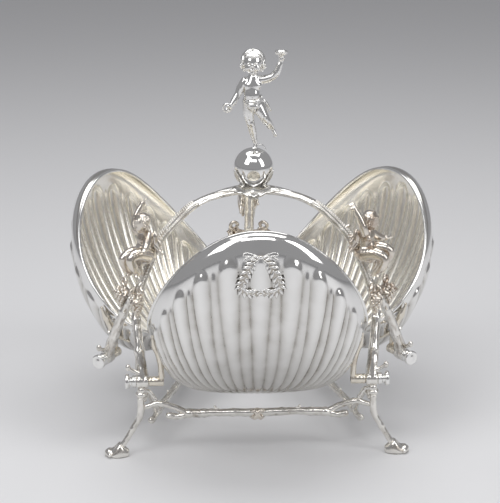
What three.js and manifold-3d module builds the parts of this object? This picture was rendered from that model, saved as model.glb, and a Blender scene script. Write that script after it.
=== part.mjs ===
// A silver-plated biscuit box of three fluted shells that fold up under a putto finial.
// Millimetres, +Z up. The origin lies on the floor, on the axis through ball and finial.
import * as THREE from 'three';
import { mergeVertices } from 'three/addons/utils/BufferGeometryUtils.js';
import Module from 'manifold-3d';

const wasm = await Module();
wasm.setup();

// Places of the pivots
const pivotRadius = 95.5;
const pivotHeight = 68.5;
const clearance = 0.3;
const overrun = 40;

// Angles, in radians: how far each shell lies open, and where the legs point
const openFront = THREE.MathUtils.degToRad(23.4);
const openRear = THREE.MathUtils.degToRad(28.7);
const frontSplay = THREE.MathUtils.degToRad(-30);
const rearSplay = THREE.MathUtils.degToRad(34);

// Rim of a shell, seen square to its opening, and how it bows out of one plane
const rimHalfWidth = 89.3;
const rimHalfHeight = 83.7;
const rimMiddle = 67.4;
const rimSideBow = 13.5;
const rimLean = 11.3;
const rimCup = 27.6;
const rimEggShare = 0.22;
const rimPower = 2.15;

// Bowl of a shell
const shellWall = 1.3;
const lipWidth = 2;
const bowlDepth = 30;
const bowlTuck = 29.5;
const shoulderRise = 40;
const topInsetShare = 0.07;
const lowInsetShare = 0.14;
const poleDrop = 17.6;
const poleInset = 18;
const floorReach = 52;
const floorSwing = 23.5;
const floorDip = 8.5;
const floorWidthShare = 1.03;
const fluteHeight = 2.8;
const fluteCount = 20;

// Stack along a pivot, from the middle of the shell outwards
const barrelInner = 80;
const bossInner = 93;
const bossWidth = 10;
const collarWidth = 3.7;
const neckWidth = 2.5;
const headWidth = 4;
const shaftRadius = 2.5;
const shaftClearance = 0.25;
const barrelRadius = 4.3;
const bossRadius = 5.6;
const collarRadius = 5.3;
const neckRadius = 4;
const headRadius = 6.5;

// Hinge straps and the wreath on a shell
const strapHalfWidth = 3.6;
const strapHalfThick = 1.5;
const strapRise = 40;
const strapInset = 10;
const wreathThick = 1.7;
const wreathSeat = 0.4; // below the full height of the crests, whose facets lie lower there
const wreathHalfWidth = 19.5;
const leafWidth = 3.6;
const ribbonWidth = 1.6;

// Crown and finial
const crownHeight = 212;
const crownRadius = 7;
const crownHalfThick = 2.6;
const nutRadius = 4.6;
const nutHeight = 3.4;
const rodRadius = 2;
const ballRadius = 17.4;
const ballRise = 20.3;
const calyxThick = 1.6;
const calyxWidth = 4.6;
const figureHeight = 88;

// Uprights
const forkRadius = 113.5;
const forkHeight = 143;
const limbHalfWidth = 5;
const limbHalfThick = 2.5;
const limbFootRadius = 3.8;
const branchRadius = 3.6;
const postRadius = 5.2;
const budReach = 11;
const budRise = 11;
const budRadius = 1.7;
const climberHeight = 58;
const clusterLength = 21;
const clusterRadius = 5.6;
const clusterSpread = 14.3;
const clusterOut = 3.5;
const stemRadius = 1.6;
const curlRadius = 3.7;

// Legs and stretchers
const collarDrop = 9.2;
const kneeRadius = 4.7;
const legRadius = 2.5;
const ankleRadius = 2.2;
const splayReach = 24;
const footHalfLength = 10.5;
const footHalfWidth = 6.6;
const footHeight = 8;
const footSlab = 2.2;
const footScroll = 2.6;
const spurReach = 10;
const tineHeight = 48;
const barHeight = 38.5;
const sideBarHeight = 25;
const sideTineHeight = 53.5;
const tineReach = 38;
const barRadius = 3;
const tineRadius = 2.3;
const stubLength = 16;
const knotRadius = 4.3;
const knotGap = 6;

// Facets
const roundSides = 10;
const crownSides = 24;
const ballDetail = 3;

const silver = { color: 0xd9d9d6, roughness: 0.12, metalness: 1 };
const warmSilver = { color: 0xd8d0bd, roughness: 0.18, metalness: 1 };
const darkSilver = { color: 0xa89a80, roughness: 0.3, metalness: 1 };

const turn = THREE.MathUtils.degToRad(120);
const object = new THREE.Group();

// Solids

// Makes one closed geometry from corners and triangles, with its faces pointing out.
function closedGeometry(corners, triangles) {
  const faces = triangles.map(face => [...face]);
  let volume = 0;
  for (const [a, b, c] of faces) {
    volume += corners[a].dot(corners[b].clone().cross(corners[c]));
  }
  if (volume < 0) faces.forEach(face => face.reverse());
  const geometry = new THREE.BufferGeometry();
  geometry.setAttribute('position', new THREE.Float32BufferAttribute(corners.flatMap(c => c.toArray()), 3));
  geometry.setIndex(faces.flat());
  return geometry;
}

// Joins rings of equal length into one skin. An end that is a single point closes it.
function loft(rings, first, last) {
  const count = rings[0].length;
  const corners = rings.flat();
  const triangles = [];
  for (let ring = 0; ring + 1 < rings.length; ring++) {
    for (let step = 0; step < count; step++) {
      const next = (step + 1) % count;
      const a = ring * count + step;
      const b = ring * count + next;
      triangles.push([a, b, b + count], [a, b + count, a + count]);
    }
  }
  const firstCorner = corners.push(first) - 1;
  const lastCorner = corners.push(last) - 1;
  const lastRing = (rings.length - 1) * count;
  for (let step = 0; step < count; step++) {
    const next = (step + 1) % count;
    triangles.push([firstCorner, next, step], [lastCorner, lastRing + step, lastRing + next]);
  }
  return closedGeometry(corners, triangles);
}

// Sweeps an oval section along a smooth curve through the points. The radii are given at even steps,
// wide stretches the section along the side direction, which may be a function of the share of the
// way along, and grow swells the section to cut a clear seat.
function sweep(points, radii, { sides = 8, steps = 10, side = new THREE.Vector3(0, 1, 0),
  wide = 1, flat = 1, grow = 0, rounded = true } = {}) {
  const curve = new THREE.CatmullRomCurve3(points, false, 'centripetal');
  const sideAt = typeof side === 'function' ? side : () => side;
  const ringAt = (share, centre, tangent, radius) => {
    const across = sideAt(share).clone().addScaledVector(tangent, -sideAt(share).dot(tangent)).normalize();
    const over = tangent.clone().cross(across);
    return Array.from({ length: sides }, (_, step) => {
      const angle = (step + 0.5) / sides * 2 * Math.PI;
      return centre.clone()
        .addScaledVector(across, (radius * wide + grow) * Math.cos(angle))
        .addScaledVector(over, (radius * flat + grow) * Math.sin(angle));
    });
  };
  const radiusAt = share => {
    const place = share * (radii.length - 1);
    const index = Math.min(Math.floor(place), radii.length - 2);
    return THREE.MathUtils.lerp(radii[index], radii[index + 1], place - index);
  };
  const rings = [];
  for (let step = 0; step <= steps; step++) {
    const share = step / steps;
    rings.push(ringAt(share, curve.getPoint(share), curve.getTangent(share), radiusAt(share)));
  }
  const tip = (share, direction) => {
    const reach = rounded ? radiusAt(share) * Math.min(wide, flat) + grow : grow;
    return curve.getPoint(share).addScaledVector(curve.getTangent(share), direction * reach);
  };
  return loft(rings, tip(0, -1), tip(1, 1));
}

function egg(centre, radii, detail = 1, spin = new THREE.Euler()) {
  const geometry = new THREE.IcosahedronGeometry(1, detail);
  geometry.scale(radii.x, radii.y, radii.z);
  geometry.applyMatrix4(new THREE.Matrix4().makeRotationFromEuler(spin));
  geometry.translate(centre.x, centre.y, centre.z);
  return geometry;
}

// A solid of revolution about the X axis, from outline points of place along the axis and radius.
function turned(outline, sides = roundSides) {
  const places = outline.map(([place, radius]) => new THREE.Vector2(radius, place));
  const geometry = new THREE.LatheGeometry(places, sides);
  geometry.rotateZ(-Math.PI / 2);
  return geometry;
}

function rod(from, to, radius, sides = roundSides) {
  return turned([[from, 0], [from, radius], [to, radius], [to, 0]], sides);
}

function toSolid(geometry) {
  const bare = geometry.clone();
  for (const name of Object.keys(bare.attributes)) {
    if (name !== 'position') bare.deleteAttribute(name);
  }
  const merged = mergeVertices(bare);
  return new wasm.Manifold(new wasm.Mesh({
    numProp: 3,
    vertProperties: merged.attributes.position.array,
    triVerts: Uint32Array.from(merged.index.array),
  }));
}

// Small lumps that touch each other may close in a void, whose skin faces inwards: it is filled.
function fromSolid(solid) {
  const mesh = solid.getMesh();
  const corner = index => vec(...mesh.vertProperties.subarray(3 * index, 3 * index + 3));
  const parent = Array.from({ length: mesh.vertProperties.length / 3 }, (_, index) => index);
  const root = index => {
    let at = index;
    while (parent[at] !== at) at = parent[at] = parent[parent[at]];
    return at;
  };
  const faces = Array.from({ length: mesh.triVerts.length / 3 },
    (_, face) => mesh.triVerts.subarray(3 * face, 3 * face + 3));
  for (const [a, b, c] of faces) {
    parent[root(a)] = root(b);
    parent[root(b)] = root(c);
  }
  const volumes = new Map();
  for (const [a, b, c] of faces) {
    volumes.set(root(a), (volumes.get(root(a)) ?? 0) + corner(a).dot(corner(b).cross(corner(c))));
  }
  const geometry = new THREE.BufferGeometry();
  geometry.setAttribute('position', new THREE.BufferAttribute(mesh.vertProperties, 3));
  geometry.setIndex(faces.filter(([a]) => volumes.get(root(a)) > 0).flatMap(face => [...face]));
  return geometry;
}

const join = (...geometries) => fromSolid(geometries.map(toSolid).reduce((all, solid) => all.add(solid)));
const cut = (body, ...tools) => fromSolid(tools.map(toSolid)
  .reduce((rest, tool) => rest.subtract(tool), toSolid(body)));

function block(low, high) {
  const geometry = new THREE.BoxGeometry(high.x - low.x, high.y - low.y, high.z - low.z);
  geometry.translate((low.x + high.x) / 2, (low.y + high.y) / 2, (low.z + high.z) / 2);
  return geometry;
}

const vec = (x, y, z) => new THREE.Vector3(x, y, z);

function addMesh(parent, name, geometry, look) {
  const mesh = new THREE.Mesh(geometry, new THREE.MeshStandardMaterial(look));
  mesh.name = name;
  parent.add(mesh);
  return mesh;
}

// Shells, in a frame with X along the pivot, Y into the bowl's mouth and Z up the shell

const signedPower = value => Math.sign(value) * Math.abs(value) ** (2 / rimPower);

function rimPoint(angle) {
  const across = signedPower(Math.cos(angle));
  const up = signedPower(Math.sin(angle));
  const x = rimHalfWidth * across * (1 - rimEggShare * up);
  const y = rimSideBow * (x / rimHalfWidth) ** 2 - rimLean * up + rimCup * up ** 2;
  return vec(x, y, rimMiddle + rimHalfHeight * up);
}

// A bowl line runs from the rim round the back and under the floor to the pole beside the pivot.
function bowlPoint(angle, share) {
  const up = signedPower(Math.sin(angle));
  const high = (1 + up) / 2;
  const low = (1 - up) / 2;
  const rim = rimPoint(angle);
  const inset = rim.x * (topInsetShare * high + lowInsetShare * low);
  const back = rim.clone().add(vec(-inset, bowlTuck * low - bowlDepth, shoulderRise * high));
  const under = vec(floorWidthShare * rim.x, poleInset - floorReach - floorSwing * up,
    -poleDrop - floorDip * high);
  const pole = vec(0, poleInset, -poleDrop);
  return new THREE.CubicBezierCurve3(rim, back, under, pole).getPoint(share);
}

function bowlNormal(angle, share) {
  const nudge = 0.001;
  const along = bowlPoint(angle + nudge, share).sub(bowlPoint(angle - nudge, share));
  const down = bowlPoint(angle, share + nudge).sub(bowlPoint(angle, share - nudge));
  return along.cross(down).normalize();
}

// Each flute is a wide lobe and a narrow rib: places in shares of its width, with shares of its height.
const fluteShares = [[0, 1], [0.34, 0], [0.5, 0.62], [0.66, 0]];
const fluteAngles = flutedRimAngles();

// Rim angles of the flutes' lines, at steps of length round the rim, starting at its top.
function flutedRimAngles() {
  const fine = 2000;
  const angleAt = step => Math.PI / 2 + step / fine * 2 * Math.PI;
  const lengths = [0];
  for (let step = 1; step <= fine; step++) {
    lengths.push(lengths[step - 1] + rimPoint(angleAt(step)).distanceTo(rimPoint(angleAt(step - 1))));
  }
  const angles = [];
  let index = 0;
  for (let flute = 0; flute < fluteCount; flute++) {
    for (const [place] of fluteShares) {
      const goal = lengths[fine] * (flute + place) / fluteCount;
      while (lengths[index + 1] < goal) index++;
      angles.push(angleAt(index + (goal - lengths[index]) / (lengths[index + 1] - lengths[index])));
    }
  }
  return angles;
}

// Flutes start below a smooth shoulder and die out towards the pole.
const fluteStartShares = [0.18, 0.27];
const fluteRise = share => THREE.MathUtils.smoothstep(share, ...fluteStartShares) * (1 - share) ** 0.6;
const outsideShares = [0.08, 0.18, 0.27, 0.45, 0.62, 0.76, 0.9];
const insideShares = [0.08, 0.18, 0.27, 0.48, 0.7, 0.88];

function bowlRing(share, offset) {
  return fluteAngles.map((angle, step) => {
    const crest = fluteHeight * fluteShares[step % fluteShares.length][1] * fluteRise(share);
    return bowlPoint(angle, share).addScaledVector(bowlNormal(angle, share), crest + offset);
  });
}

function shellGeometry() {
  const lipRing = drop => fluteAngles.map(angle => {
    const out = bowlNormal(angle, 0).setY(0).normalize();
    return rimPoint(angle).addScaledVector(out, lipWidth).add(vec(0, -drop, 0));
  });
  const outside = outsideShares.map(share => bowlRing(share, 0));
  const inside = insideShares.map(share => bowlRing(share, -shellWall));
  const pole = bowlPoint(0, 1);
  const rings = [...outside.reverse(), lipRing(shellWall), lipRing(0), bowlRing(0, -shellWall), ...inside];
  return loft(rings, pole, pole.clone().add(vec(0, 0, shellWall)));
}

// The bowl's outer surface swollen by the clearance and filled in, to cut what is fixed on it.
function swollenBowl() {
  const rings = outsideShares.map(share => bowlRing(share, clearance)).reverse();
  const out = fluteAngles.map(angle => rimPoint(angle)
    .addScaledVector(bowlNormal(angle, 0).setY(0).normalize(), lipWidth + clearance));
  const under = out.map(point => point.clone().add(vec(0, -shellWall - clearance, 0)));
  const mouth = vec(0, rimCup + clearance, rimMiddle);
  return loft([...rings, under, out], bowlPoint(0, 1).add(vec(0, 0, -clearance)), mouth);
}

const bowlTool = swollenBowl();

// The place on the outer surface that lies at a height and an inset beside the pivot.
function sideWall(inset, height) {
  const best = { distance: Infinity };
  for (let angle = -Math.PI / 2; angle < Math.PI / 4; angle += 0.02) {
    for (let share = 0; share < 0.8; share += 0.02) {
      const point = bowlPoint(angle, share);
      const distance = Math.hypot(point.y - inset, point.z - height);
      if (distance < best.distance) Object.assign(best, { distance, x: point.x });
    }
  }
  return best.x;
}

const strapShares = [[0, 0.12], [0.75, 0.5], [1, 0.8], [1.1, 1]];

function strapGeometry(side) {
  const bossFace = bossInner - clearance;
  const path = strapShares.map(([inset, rise], step) => {
    const y = strapInset * inset;
    const z = strapRise * rise;
    const wall = step === 0 ? barrelInner : sideWall(y, z);
    const out = Math.max(wall + clearance, barrelInner) + strapHalfThick;
    return vec(side * Math.min(out, bossFace - strapHalfThick), y, z);
  });
  const blade = sweep(path, [strapHalfWidth, strapHalfWidth, strapHalfWidth, strapHalfWidth * 0.6], {
    side: vec(0, 1, 0), flat: strapHalfThick / strapHalfWidth, sides: 4, steps: 5,
  });
  const ends = side > 0 ? [barrelInner, bossFace] : [-bossFace, -barrelInner];
  const bore = rod(-bossInner - overrun, bossInner + overrun, shaftRadius + shaftClearance);
  return cut(join(rod(...ends, barrelRadius), blade), bowlTool, bore);
}

// A place in front of the crests, in shares of the wreath's half width from its centre.
const wreathCentreShare = 0.3;
const wreathHeightShare = 0.066;

function wreathSpot(across, down) {
  const span = rimHalfWidth * (1 - rimEggShare);
  const angle = Math.PI / 2 + Math.asin(across * wreathHalfWidth / span);
  return [angle, wreathCentreShare + down * wreathHeightShare];
}

function wreathPlace(across, down) {
  const [angle, share] = wreathSpot(across, down);
  const lift = fluteHeight * fluteRise(share) - wreathSeat + wreathThick / 2;
  return bowlPoint(angle, share).addScaledVector(bowlNormal(angle, share), lift);
}

const wreathNormal = (across, down) => bowlNormal(...wreathSpot(across, down));
const leafPairs = 8;
const leafShares = [0.45, 1, 0.8];
const wreathOpenShare = 0.01;
const bowShares = [[0.05, -1.04], [0.34, -1.36], [0.6, -1.14], [0.07, -0.97]];

function wreathGeometry() {
  const spot = share => {
    const angle = (wreathOpenShare + share * (1 - 2 * wreathOpenShare)) * 2 * Math.PI;
    return [Math.sin(angle), -Math.cos(angle)];
  };
  const thin = wreathThick / 2;
  const strip = (spots, widths, steps) => sweep(spots.map(at => wreathPlace(...at)), widths, {
    sides: 4, steps, side: share => wreathNormal(...spots[Math.round(share * (spots.length - 1))]),
    wide: thin / Math.max(...widths),
  });
  const half = Array.from({ length: leafPairs / 2 }, () => leafShares).flat();
  const widths = [...half, 1, ...half.reverse()].map(share => leafWidth * share);
  const leaves = strip(Array.from({ length: 2 * leafPairs + 1 }, (_, step) => spot(step / (2 * leafPairs))),
    widths, widths.length - 1);
  const bow = [-1, 1].map(side => strip(bowShares.map(([across, down]) => [side * across, down]),
    [ribbonWidth, ribbonWidth * 1.2, ribbonWidth], 5));
  return join(leaves, ...bow);
}

const shellData = [
  { name: 'front', spin: 0, open: openFront },
  { name: 'rear_left', spin: -turn, open: openRear },
  { name: 'rear_right', spin: turn, open: openRear },
];
const shellSkin = shellGeometry();
const wreathSkin = wreathGeometry();
const strapSkins = { left: strapGeometry(-1), right: strapGeometry(1) };

// A pivot bolt: turned head, neck and collar outside the post, and a plain shaft through post and barrel.
function boltGeometry(side) {
  const collarInner = bossInner + bossWidth + clearance;
  const neckInner = collarInner + collarWidth;
  const headInner = neckInner + neckWidth;
  const crown = headInner + headWidth;
  const outline = [
    [barrelInner, 0], [barrelInner, shaftRadius], [collarInner, shaftRadius], [collarInner, collarRadius],
    [neckInner, collarRadius], [neckInner, neckRadius], [headInner, neckRadius],
    [headInner, headRadius], [crown - clearance, headRadius], [crown, headRadius - clearance], [crown, 0],
  ];
  const geometry = turned(outline);
  if (side < 0) geometry.rotateZ(Math.PI);
  return geometry;
}

for (const { name, spin, open } of shellData) {
  const sector = new THREE.Group();
  sector.rotation.z = spin;
  object.add(sector);
  const hinge = new THREE.Group();
  hinge.position.set(0, -pivotRadius, pivotHeight);
  hinge.rotation.x = open;
  sector.add(hinge);
  addMesh(hinge, `shell_${name}`, shellSkin, silver);
  addMesh(hinge, `wreath_${name}`, wreathSkin, silver);
  for (const [hand, skin] of Object.entries(strapSkins)) {
    addMesh(hinge, `hinge_strap_${name}_${hand}`, skin, warmSilver);
    const side = hand === 'left' ? -1 : 1;
    const bolt = addMesh(sector, `pivot_bolt_${name}_${hand}`, boltGeometry(side), silver);
    bolt.position.set(0, -pivotRadius, pivotHeight);
  }
}

// Uprights, in a frame with X outwards from the axis and Y along the circle

const half = turn / 4;
const bossMiddle = bossInner + bossWidth / 2;
const bossOut = bossMiddle * Math.cos(half) + pivotRadius * Math.sin(half);
const bossAside = pivotRadius * Math.cos(half) - bossMiddle * Math.sin(half);

// Places a piece that is built along the pivot axis at a post, on the given side of the corner plane.
function atBoss(geometry, side) {
  const placed = geometry.clone();
  placed.rotateZ(-side * half);
  placed.translate(bossOut, side * bossAside, pivotHeight);
  return placed;
}

// Shares of the way from the axis to the fork, and from the fork up to the crown.
const limbShares = [[0.07, 1], [0.22, 1.01], [0.32, 1], [0.41, 0.98], [0.49, 0.945], [0.575, 0.885],
  [0.66, 0.79], [0.745, 0.68], [0.82, 0.565], [0.885, 0.385], [0.945, 0.2], [1, 0], [1.02, -0.09]];
const limbPoints = limbShares.map(([out, up]) => vec(forkRadius * out, 0,
  forkHeight + (crownHeight - forkHeight) * up));

function limbSkin(grow = 0) {
  const radii = [...[1.1, 1, 1, 0.9].map(share => share * limbHalfWidth), limbFootRadius * 1.1];
  return sweep(limbPoints, radii, { flat: limbHalfThick / limbHalfWidth, steps: 16, grow });
}

// Shares of the way out, aside and down from the fork to the pivot.
const branchShares = [[0, 0, 0], [0.235, 0.06, 0.095], [0.47, 0.165, 0.2], [0.6, 0.28, 0.31],
  [0.76, 0.535, 0.525], [0.89, 0.785, 0.765], [1, 1, 0.99]];

function branchSkin(side, grow = 0) {
  const path = branchShares.map(([out, aside, down]) => vec(
    forkRadius + (bossOut - forkRadius) * out,
    side * bossAside * aside,
    forkHeight - (forkHeight - pivotHeight) * down,
  ));
  return sweep(path, [branchRadius * 1.1, branchRadius, branchRadius, branchRadius * 1.15, postRadius],
    { side: vec(1, 0, 0), sides: 6, steps: 8, grow });
}

function branchGeometry(side) {
  const boss = atBoss(rod(-bossWidth / 2, bossWidth / 2, bossRadius), side);
  const bore = atBoss(rod(-overrun, overrun, shaftRadius + shaftClearance), side);
  const budLow = collarRadius + clearance + budRadius * 1.6;
  const budPath = [vec(0, 0, budLow), vec((bossWidth + budReach) / 2, 0, budLow + budRise * 0.1),
    vec(bossWidth / 2 + budReach * 0.6, 0, budLow + budRise * 0.35)];
  const budSkin = sweep(budPath, [budRadius * 1.3, budRadius, budRadius * 1.2], { sides: 5, steps: 2 });
  const bud = atBoss(budSkin, side);
  const reach = 3 * forkRadius;
  const across = side > 0
    ? block(vec(0, -overrun, 0), vec(reach, clearance / 2, reach))
    : block(vec(0, -clearance / 2, 0), vec(reach, overrun, reach));
  const above = block(vec(0, -overrun, forkHeight - clearance / 2), vec(reach, overrun, reach));
  const low = -overrun;
  const outer = atBoss(block(vec(bossWidth / 2, low, low), vec(overrun, overrun, bossRadius)), side);
  const inner = atBoss(block(vec(low, low, low), vec(-bossWidth / 2, overrun, bossRadius)), side);
  const post = cut(branchSkin(side), above, across, outer, inner);
  return cut(join(post, boss, bud), bore);
}

function limbGeometry() {
  const reach = 3 * forkRadius;
  const below = block(vec(0, -overrun, 0), vec(reach, overrun, forkHeight + clearance / 2));
  const hub = rodUp(0, crownHeight + overrun, crownRadius + clearance, crownSides);
  return cut(limbSkin(), below, hub);
}

function rodUp(low, high, radius, sides = roundSides) {
  const geometry = rod(low, high, radius, sides);
  geometry.rotateY(-Math.PI / 2);
  return geometry;
}

// Figures: each is a list of swept limbs and egg shapes, in shares of the figure's height

function figureSkin(pose, height, map) {
  const place = ([x, y, z]) => map(vec(x, y, z).multiplyScalar(height));
  const limbs = pose.limbs.map(({ path, radii, sides = 6 }) => sweep(path.map(place),
    radii.map(radius => radius * height), { sides, steps: path.length, side: pose.side }));
  const lumps = pose.lumps.map(({ at, size, detail = 0 }) => egg(place(at),
    vec(...size).multiplyScalar(height), detail));
  return join(...limbs, ...lumps);
}

const dancerShares = {
  side: vec(0.3, 1, 0.2),
  limbs: [
    { path: [[-0.02, 0, 0.5], [-0.015, 0, 0.6], [0, 0, 0.72], [0.005, 0, 0.8]],
      radii: [0.085, 0.075, 0.095, 0.05], sides: 8 },
    { path: [[0.02, 0, 0.01], [0.0, 0, 0.07], [-0.03, -0.02, 0.2],
      [-0.045, 0, 0.32], [-0.035, 0, 0.46]], radii: [0.025, 0.028, 0.04, 0.055, 0.07] },
    { path: [[0.03, 0, 0.46], [0.08, -0.03, 0.37], [0.125, -0.02, 0.3],
      [0.165, 0.06, 0.22], [0.2, 0.09, 0.165]], radii: [0.068, 0.056, 0.045, 0.036, 0.025] },
    { path: [[-0.07, 0, 0.71], [-0.12, 0, 0.63], [-0.15, -0.01, 0.55],
      [-0.21, -0.04, 0.47], [-0.245, -0.05, 0.435]], radii: [0.038, 0.036, 0.03, 0.026, 0.02] },
    { path: [[0.06, 0, 0.73], [0.13, 0, 0.725], [0.19, -0.01, 0.745],
      [0.25, -0.02, 0.83], [0.275, -0.02, 0.88]], radii: [0.038, 0.034, 0.028, 0.024, 0.018] },
  ],
  lumps: [
    { at: [0, 0, 0.888], size: [0.105, 0.11, 0.122], detail: 1 },
    { at: [-0.1, 0.01, 0.87], size: [0.04, 0.05, 0.06] },
    { at: [0.1, 0.01, 0.87], size: [0.04, 0.05, 0.06] },
    { at: [0.02, -0.05, 0.012], size: [0.03, 0.06, 0.02] },
    { at: [0.21, 0.097, 0.15], size: [0.036, 0.036, 0.036] },
    { at: [-0.255, -0.05, 0.427], size: [0.045, 0.03, 0.04] },
    { at: [0.285, -0.02, 0.912], size: [0.05, 0.035, 0.05] },
    { at: [0, 0, 0.5], size: [0.12, 0.095, 0.05] },
  ],
};

const climberShares = {
  side: vec(0.2, 0.3, 1),
  limbs: [
    { path: [[0.15, 0, 0.2], [0.13, 0, 0.3], [0.13, 0, 0.46], [0.16, 0.01, 0.58]],
      radii: [0.105, 0.09, 0.105, 0.055], sides: 8 },
    { path: [[0.14, 0.08, 0.2], [0.33, 0.13, 0.26], [0.48, 0.155, 0.2], [0.43, 0.165, 0.08],
      [0.36, 0.17, 0]], radii: [0.085, 0.07, 0.055, 0.045, 0.03], sides: 5 },
    { path: [[0.14, -0.06, 0.19], [0.33, -0.07, 0.22], [0.49, -0.07, 0.14], [0.43, -0.08, 0.02],
      [0.35, -0.09, -0.06]], radii: [0.085, 0.07, 0.055, 0.045, 0.03], sides: 5 },
    { path: [[0.14, -0.09, 0.52], [0.19, -0.17, 0.54], [0.2, -0.22, 0.63], [0.13, -0.23, 0.78],
      [0.06, -0.23, 0.89]], radii: [0.045, 0.042, 0.038, 0.03, 0.025], sides: 5 },
    { path: [[0.14, 0.09, 0.51], [0.2, 0.18, 0.43], [0.26, 0.25, 0.38], [0.31, 0.3, 0.36]],
      radii: [0.045, 0.042, 0.034, 0.026], sides: 5 },
  ],
  lumps: [
    { at: [0.21, 0.02, 0.7], size: [0.13, 0.125, 0.14], detail: 1 },
    { at: [0.05, -0.23, 0.91], size: [0.045, 0.045, 0.05] },
    { at: [0.33, 0.31, 0.36], size: [0.045, 0.04, 0.04] },
    { at: [0.34, 0.175, -0.03], size: [0.065, 0.04, 0.04] },
    { at: [0.33, -0.095, -0.09], size: [0.065, 0.04, 0.04] },
    { at: [-0.01, 0, 0.44], size: [0.13, 0.12, 0.16] },
  ],
};

// The climber hugs the outer side of the limb above the fork, with its legs astride it.
const climberOutShare = 0.895;
const climberUpShare = 0.22;
const climberSeat = vec(forkRadius * climberOutShare, 0,
  forkHeight + (crownHeight - forkHeight) * climberUpShare);

function climberGeometry() {
  const body = figureSkin(climberShares, climberHeight, point => point.add(climberSeat));
  return cut(body, limbSkin(clearance), branchSkin(1, clearance), branchSkin(-1, clearance));
}

// Vines: two stems leave the fork sideways and curl up, and a bunch of grapes hangs under each curl.
const bunchTaperShare = 0.35;
const bunchDimpleShare = 0.82;

// A bunch is an egg that tapers downwards, dimpled between the grapes.
function bunchGeometry() {
  const geometry = new THREE.IcosahedronGeometry(1, 1);
  const place = geometry.attributes.position;
  const spikes = new THREE.IcosahedronGeometry(1, 0).attributes.position;
  for (let index = 0; index < place.count; index++) {
    const point = new THREE.Vector3().fromBufferAttribute(place, index);
    let nearest = Infinity;
    for (let spike = 0; spike < spikes.count; spike++) {
      nearest = Math.min(nearest, point.distanceTo(new THREE.Vector3().fromBufferAttribute(spikes, spike)));
    }
    const swell = nearest < 0.1 ? 1 : bunchDimpleShare;
    const taper = 1 + bunchTaperShare * point.z;
    place.setXYZ(index, point.x * swell * taper * clusterRadius, point.y * swell * taper * clusterRadius,
      point.z * clusterLength / 2);
  }
  return geometry;
}

// A curl's line from the middle of the vine, as shares of its reach aside and of its own radius.
const curlShares = [[0, 0], [0.5, 0.1], [1, 0.6], [1.26, 1.7], [1.03, 2.7], [0.78, 2.1]];

function vineGeometry() {
  const [out, , down] = branchShares[1];
  const middle = vec(forkRadius + (bossOut - forkRadius) * out + branchRadius * 1.1 + stemRadius * 0.7, 0,
    forkHeight - (forkHeight - pivotHeight) * down);
  const parts = [-1, 1].flatMap(side => {
    const path = curlShares.map(([aside, up]) => middle.clone()
      .add(vec(0, side * clusterSpread * aside, curlRadius * up)));
    const curl = sweep(path, [stemRadius, stemRadius, stemRadius * 0.8],
      { sides: 4, steps: 8, side: vec(1, 0, 0) });
    const bunch = bunchGeometry();
    bunch.translate(middle.x + clusterOut, side * clusterSpread, middle.z + curlRadius - clusterLength / 2);
    return [curl, bunch];
  });
  return cut(join(...parts), limbSkin(clearance), branchSkin(1, clearance), branchSkin(-1, clearance));
}

const climberSkin = climberGeometry();

// Legs, in the upright's frame: shares of the splay outwards, and of the height of the pivot.
const legShares = [[0.05, 0.88], [0.08, 0.8], [0.11, 0.56], [0.36, 0.38], [0.66, 0.2], [0.86, 0.1]];

function atLeg(geometry, side, splay) {
  geometry.rotateZ(side * splay);
  geometry.translate(bossOut, side * bossAside, 0);
  return geometry;
}

function legSkin(grow = 0) {
  const radii = [kneeRadius * 0.8, legRadius, legRadius, ankleRadius, ankleRadius, ankleRadius * 1.2];
  return sweep(legShares.map(([out, up]) => vec(splayReach * out, 0, pivotHeight * up)), radii,
    { sides: 6, steps: 8, grow });
}

function legGeometry(side, splay) {
  const foot = vec(splayReach, 0, 0);
  const collarHeight = pivotHeight - collarDrop;
  const parts = [
    legSkin(),
    egg(vec(splayReach * 0.07, 0, collarHeight - legRadius),
      vec(kneeRadius, kneeRadius, legRadius * 1.2), 0),
    egg(foot.clone().setZ(footSlab), vec(footHalfLength, footHalfWidth, footHeight - footSlab)),
    egg(foot.clone().add(vec(footHalfLength * 0.7, 0, footScroll)),
      vec(footScroll, footHalfWidth * 0.9, footScroll), 0),
    sweep([vec(0, 0, collarHeight), vec(-spurReach * 0.5, 0, collarHeight),
      vec(-spurReach, 0, collarHeight - spurReach * 0.7)], [ankleRadius, budRadius, budRadius],
    { sides: 5, steps: 3 }),
  ];
  const underFloor = block(vec(-overrun, -overrun, -overrun), vec(2 * overrun, overrun, 0));
  const leg = atLeg(cut(join(...parts), underFloor), side, splay);
  const bossEnd = bossWidth / 2 + clearance;
  const boss = atBoss(rod(-bossEnd, bossEnd, bossRadius + clearance), side);
  return cut(leg, boss, branchSkin(side, clearance));
}

const cornerData = [
  { name: 'front_left', spin: -5 * half, legs: [[1, frontSplay, 'front_left']] },
  { name: 'front_right', spin: -half, legs: [[-1, frontSplay, 'front_right']] },
  { name: 'rear', spin: 3 * half, legs: [[1, rearSplay, 'rear_left'], [-1, rearSplay, 'rear_right']] },
];
const branchTargets = {
  front_left: ['front_left', 'rear_left_front'],
  front_right: ['rear_right_front', 'front_right'],
  rear: ['rear_left_rear', 'rear_right_rear'],
};

for (const { name, spin, legs } of cornerData) {
  const corner = new THREE.Group();
  corner.rotation.z = spin;
  object.add(corner);
  addMesh(corner, `arch_limb_${name}`, limbGeometry(), silver);
  addMesh(corner, `branch_${branchTargets[name][0]}`, branchGeometry(1), silver);
  addMesh(corner, `branch_${branchTargets[name][1]}`, branchGeometry(-1), silver);
  addMesh(corner, `climbing_putto_${name}`, climberSkin, darkSilver);
  addMesh(corner, `grapevine_${name}`, vineGeometry(), darkSilver);
  for (const [side, splay, leg] of legs) {
    addMesh(corner, `leg_${leg}`, legGeometry(side, splay), silver);
  }
}

// Stretchers, in the world frame: a twig with a forked end at each leg

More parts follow.
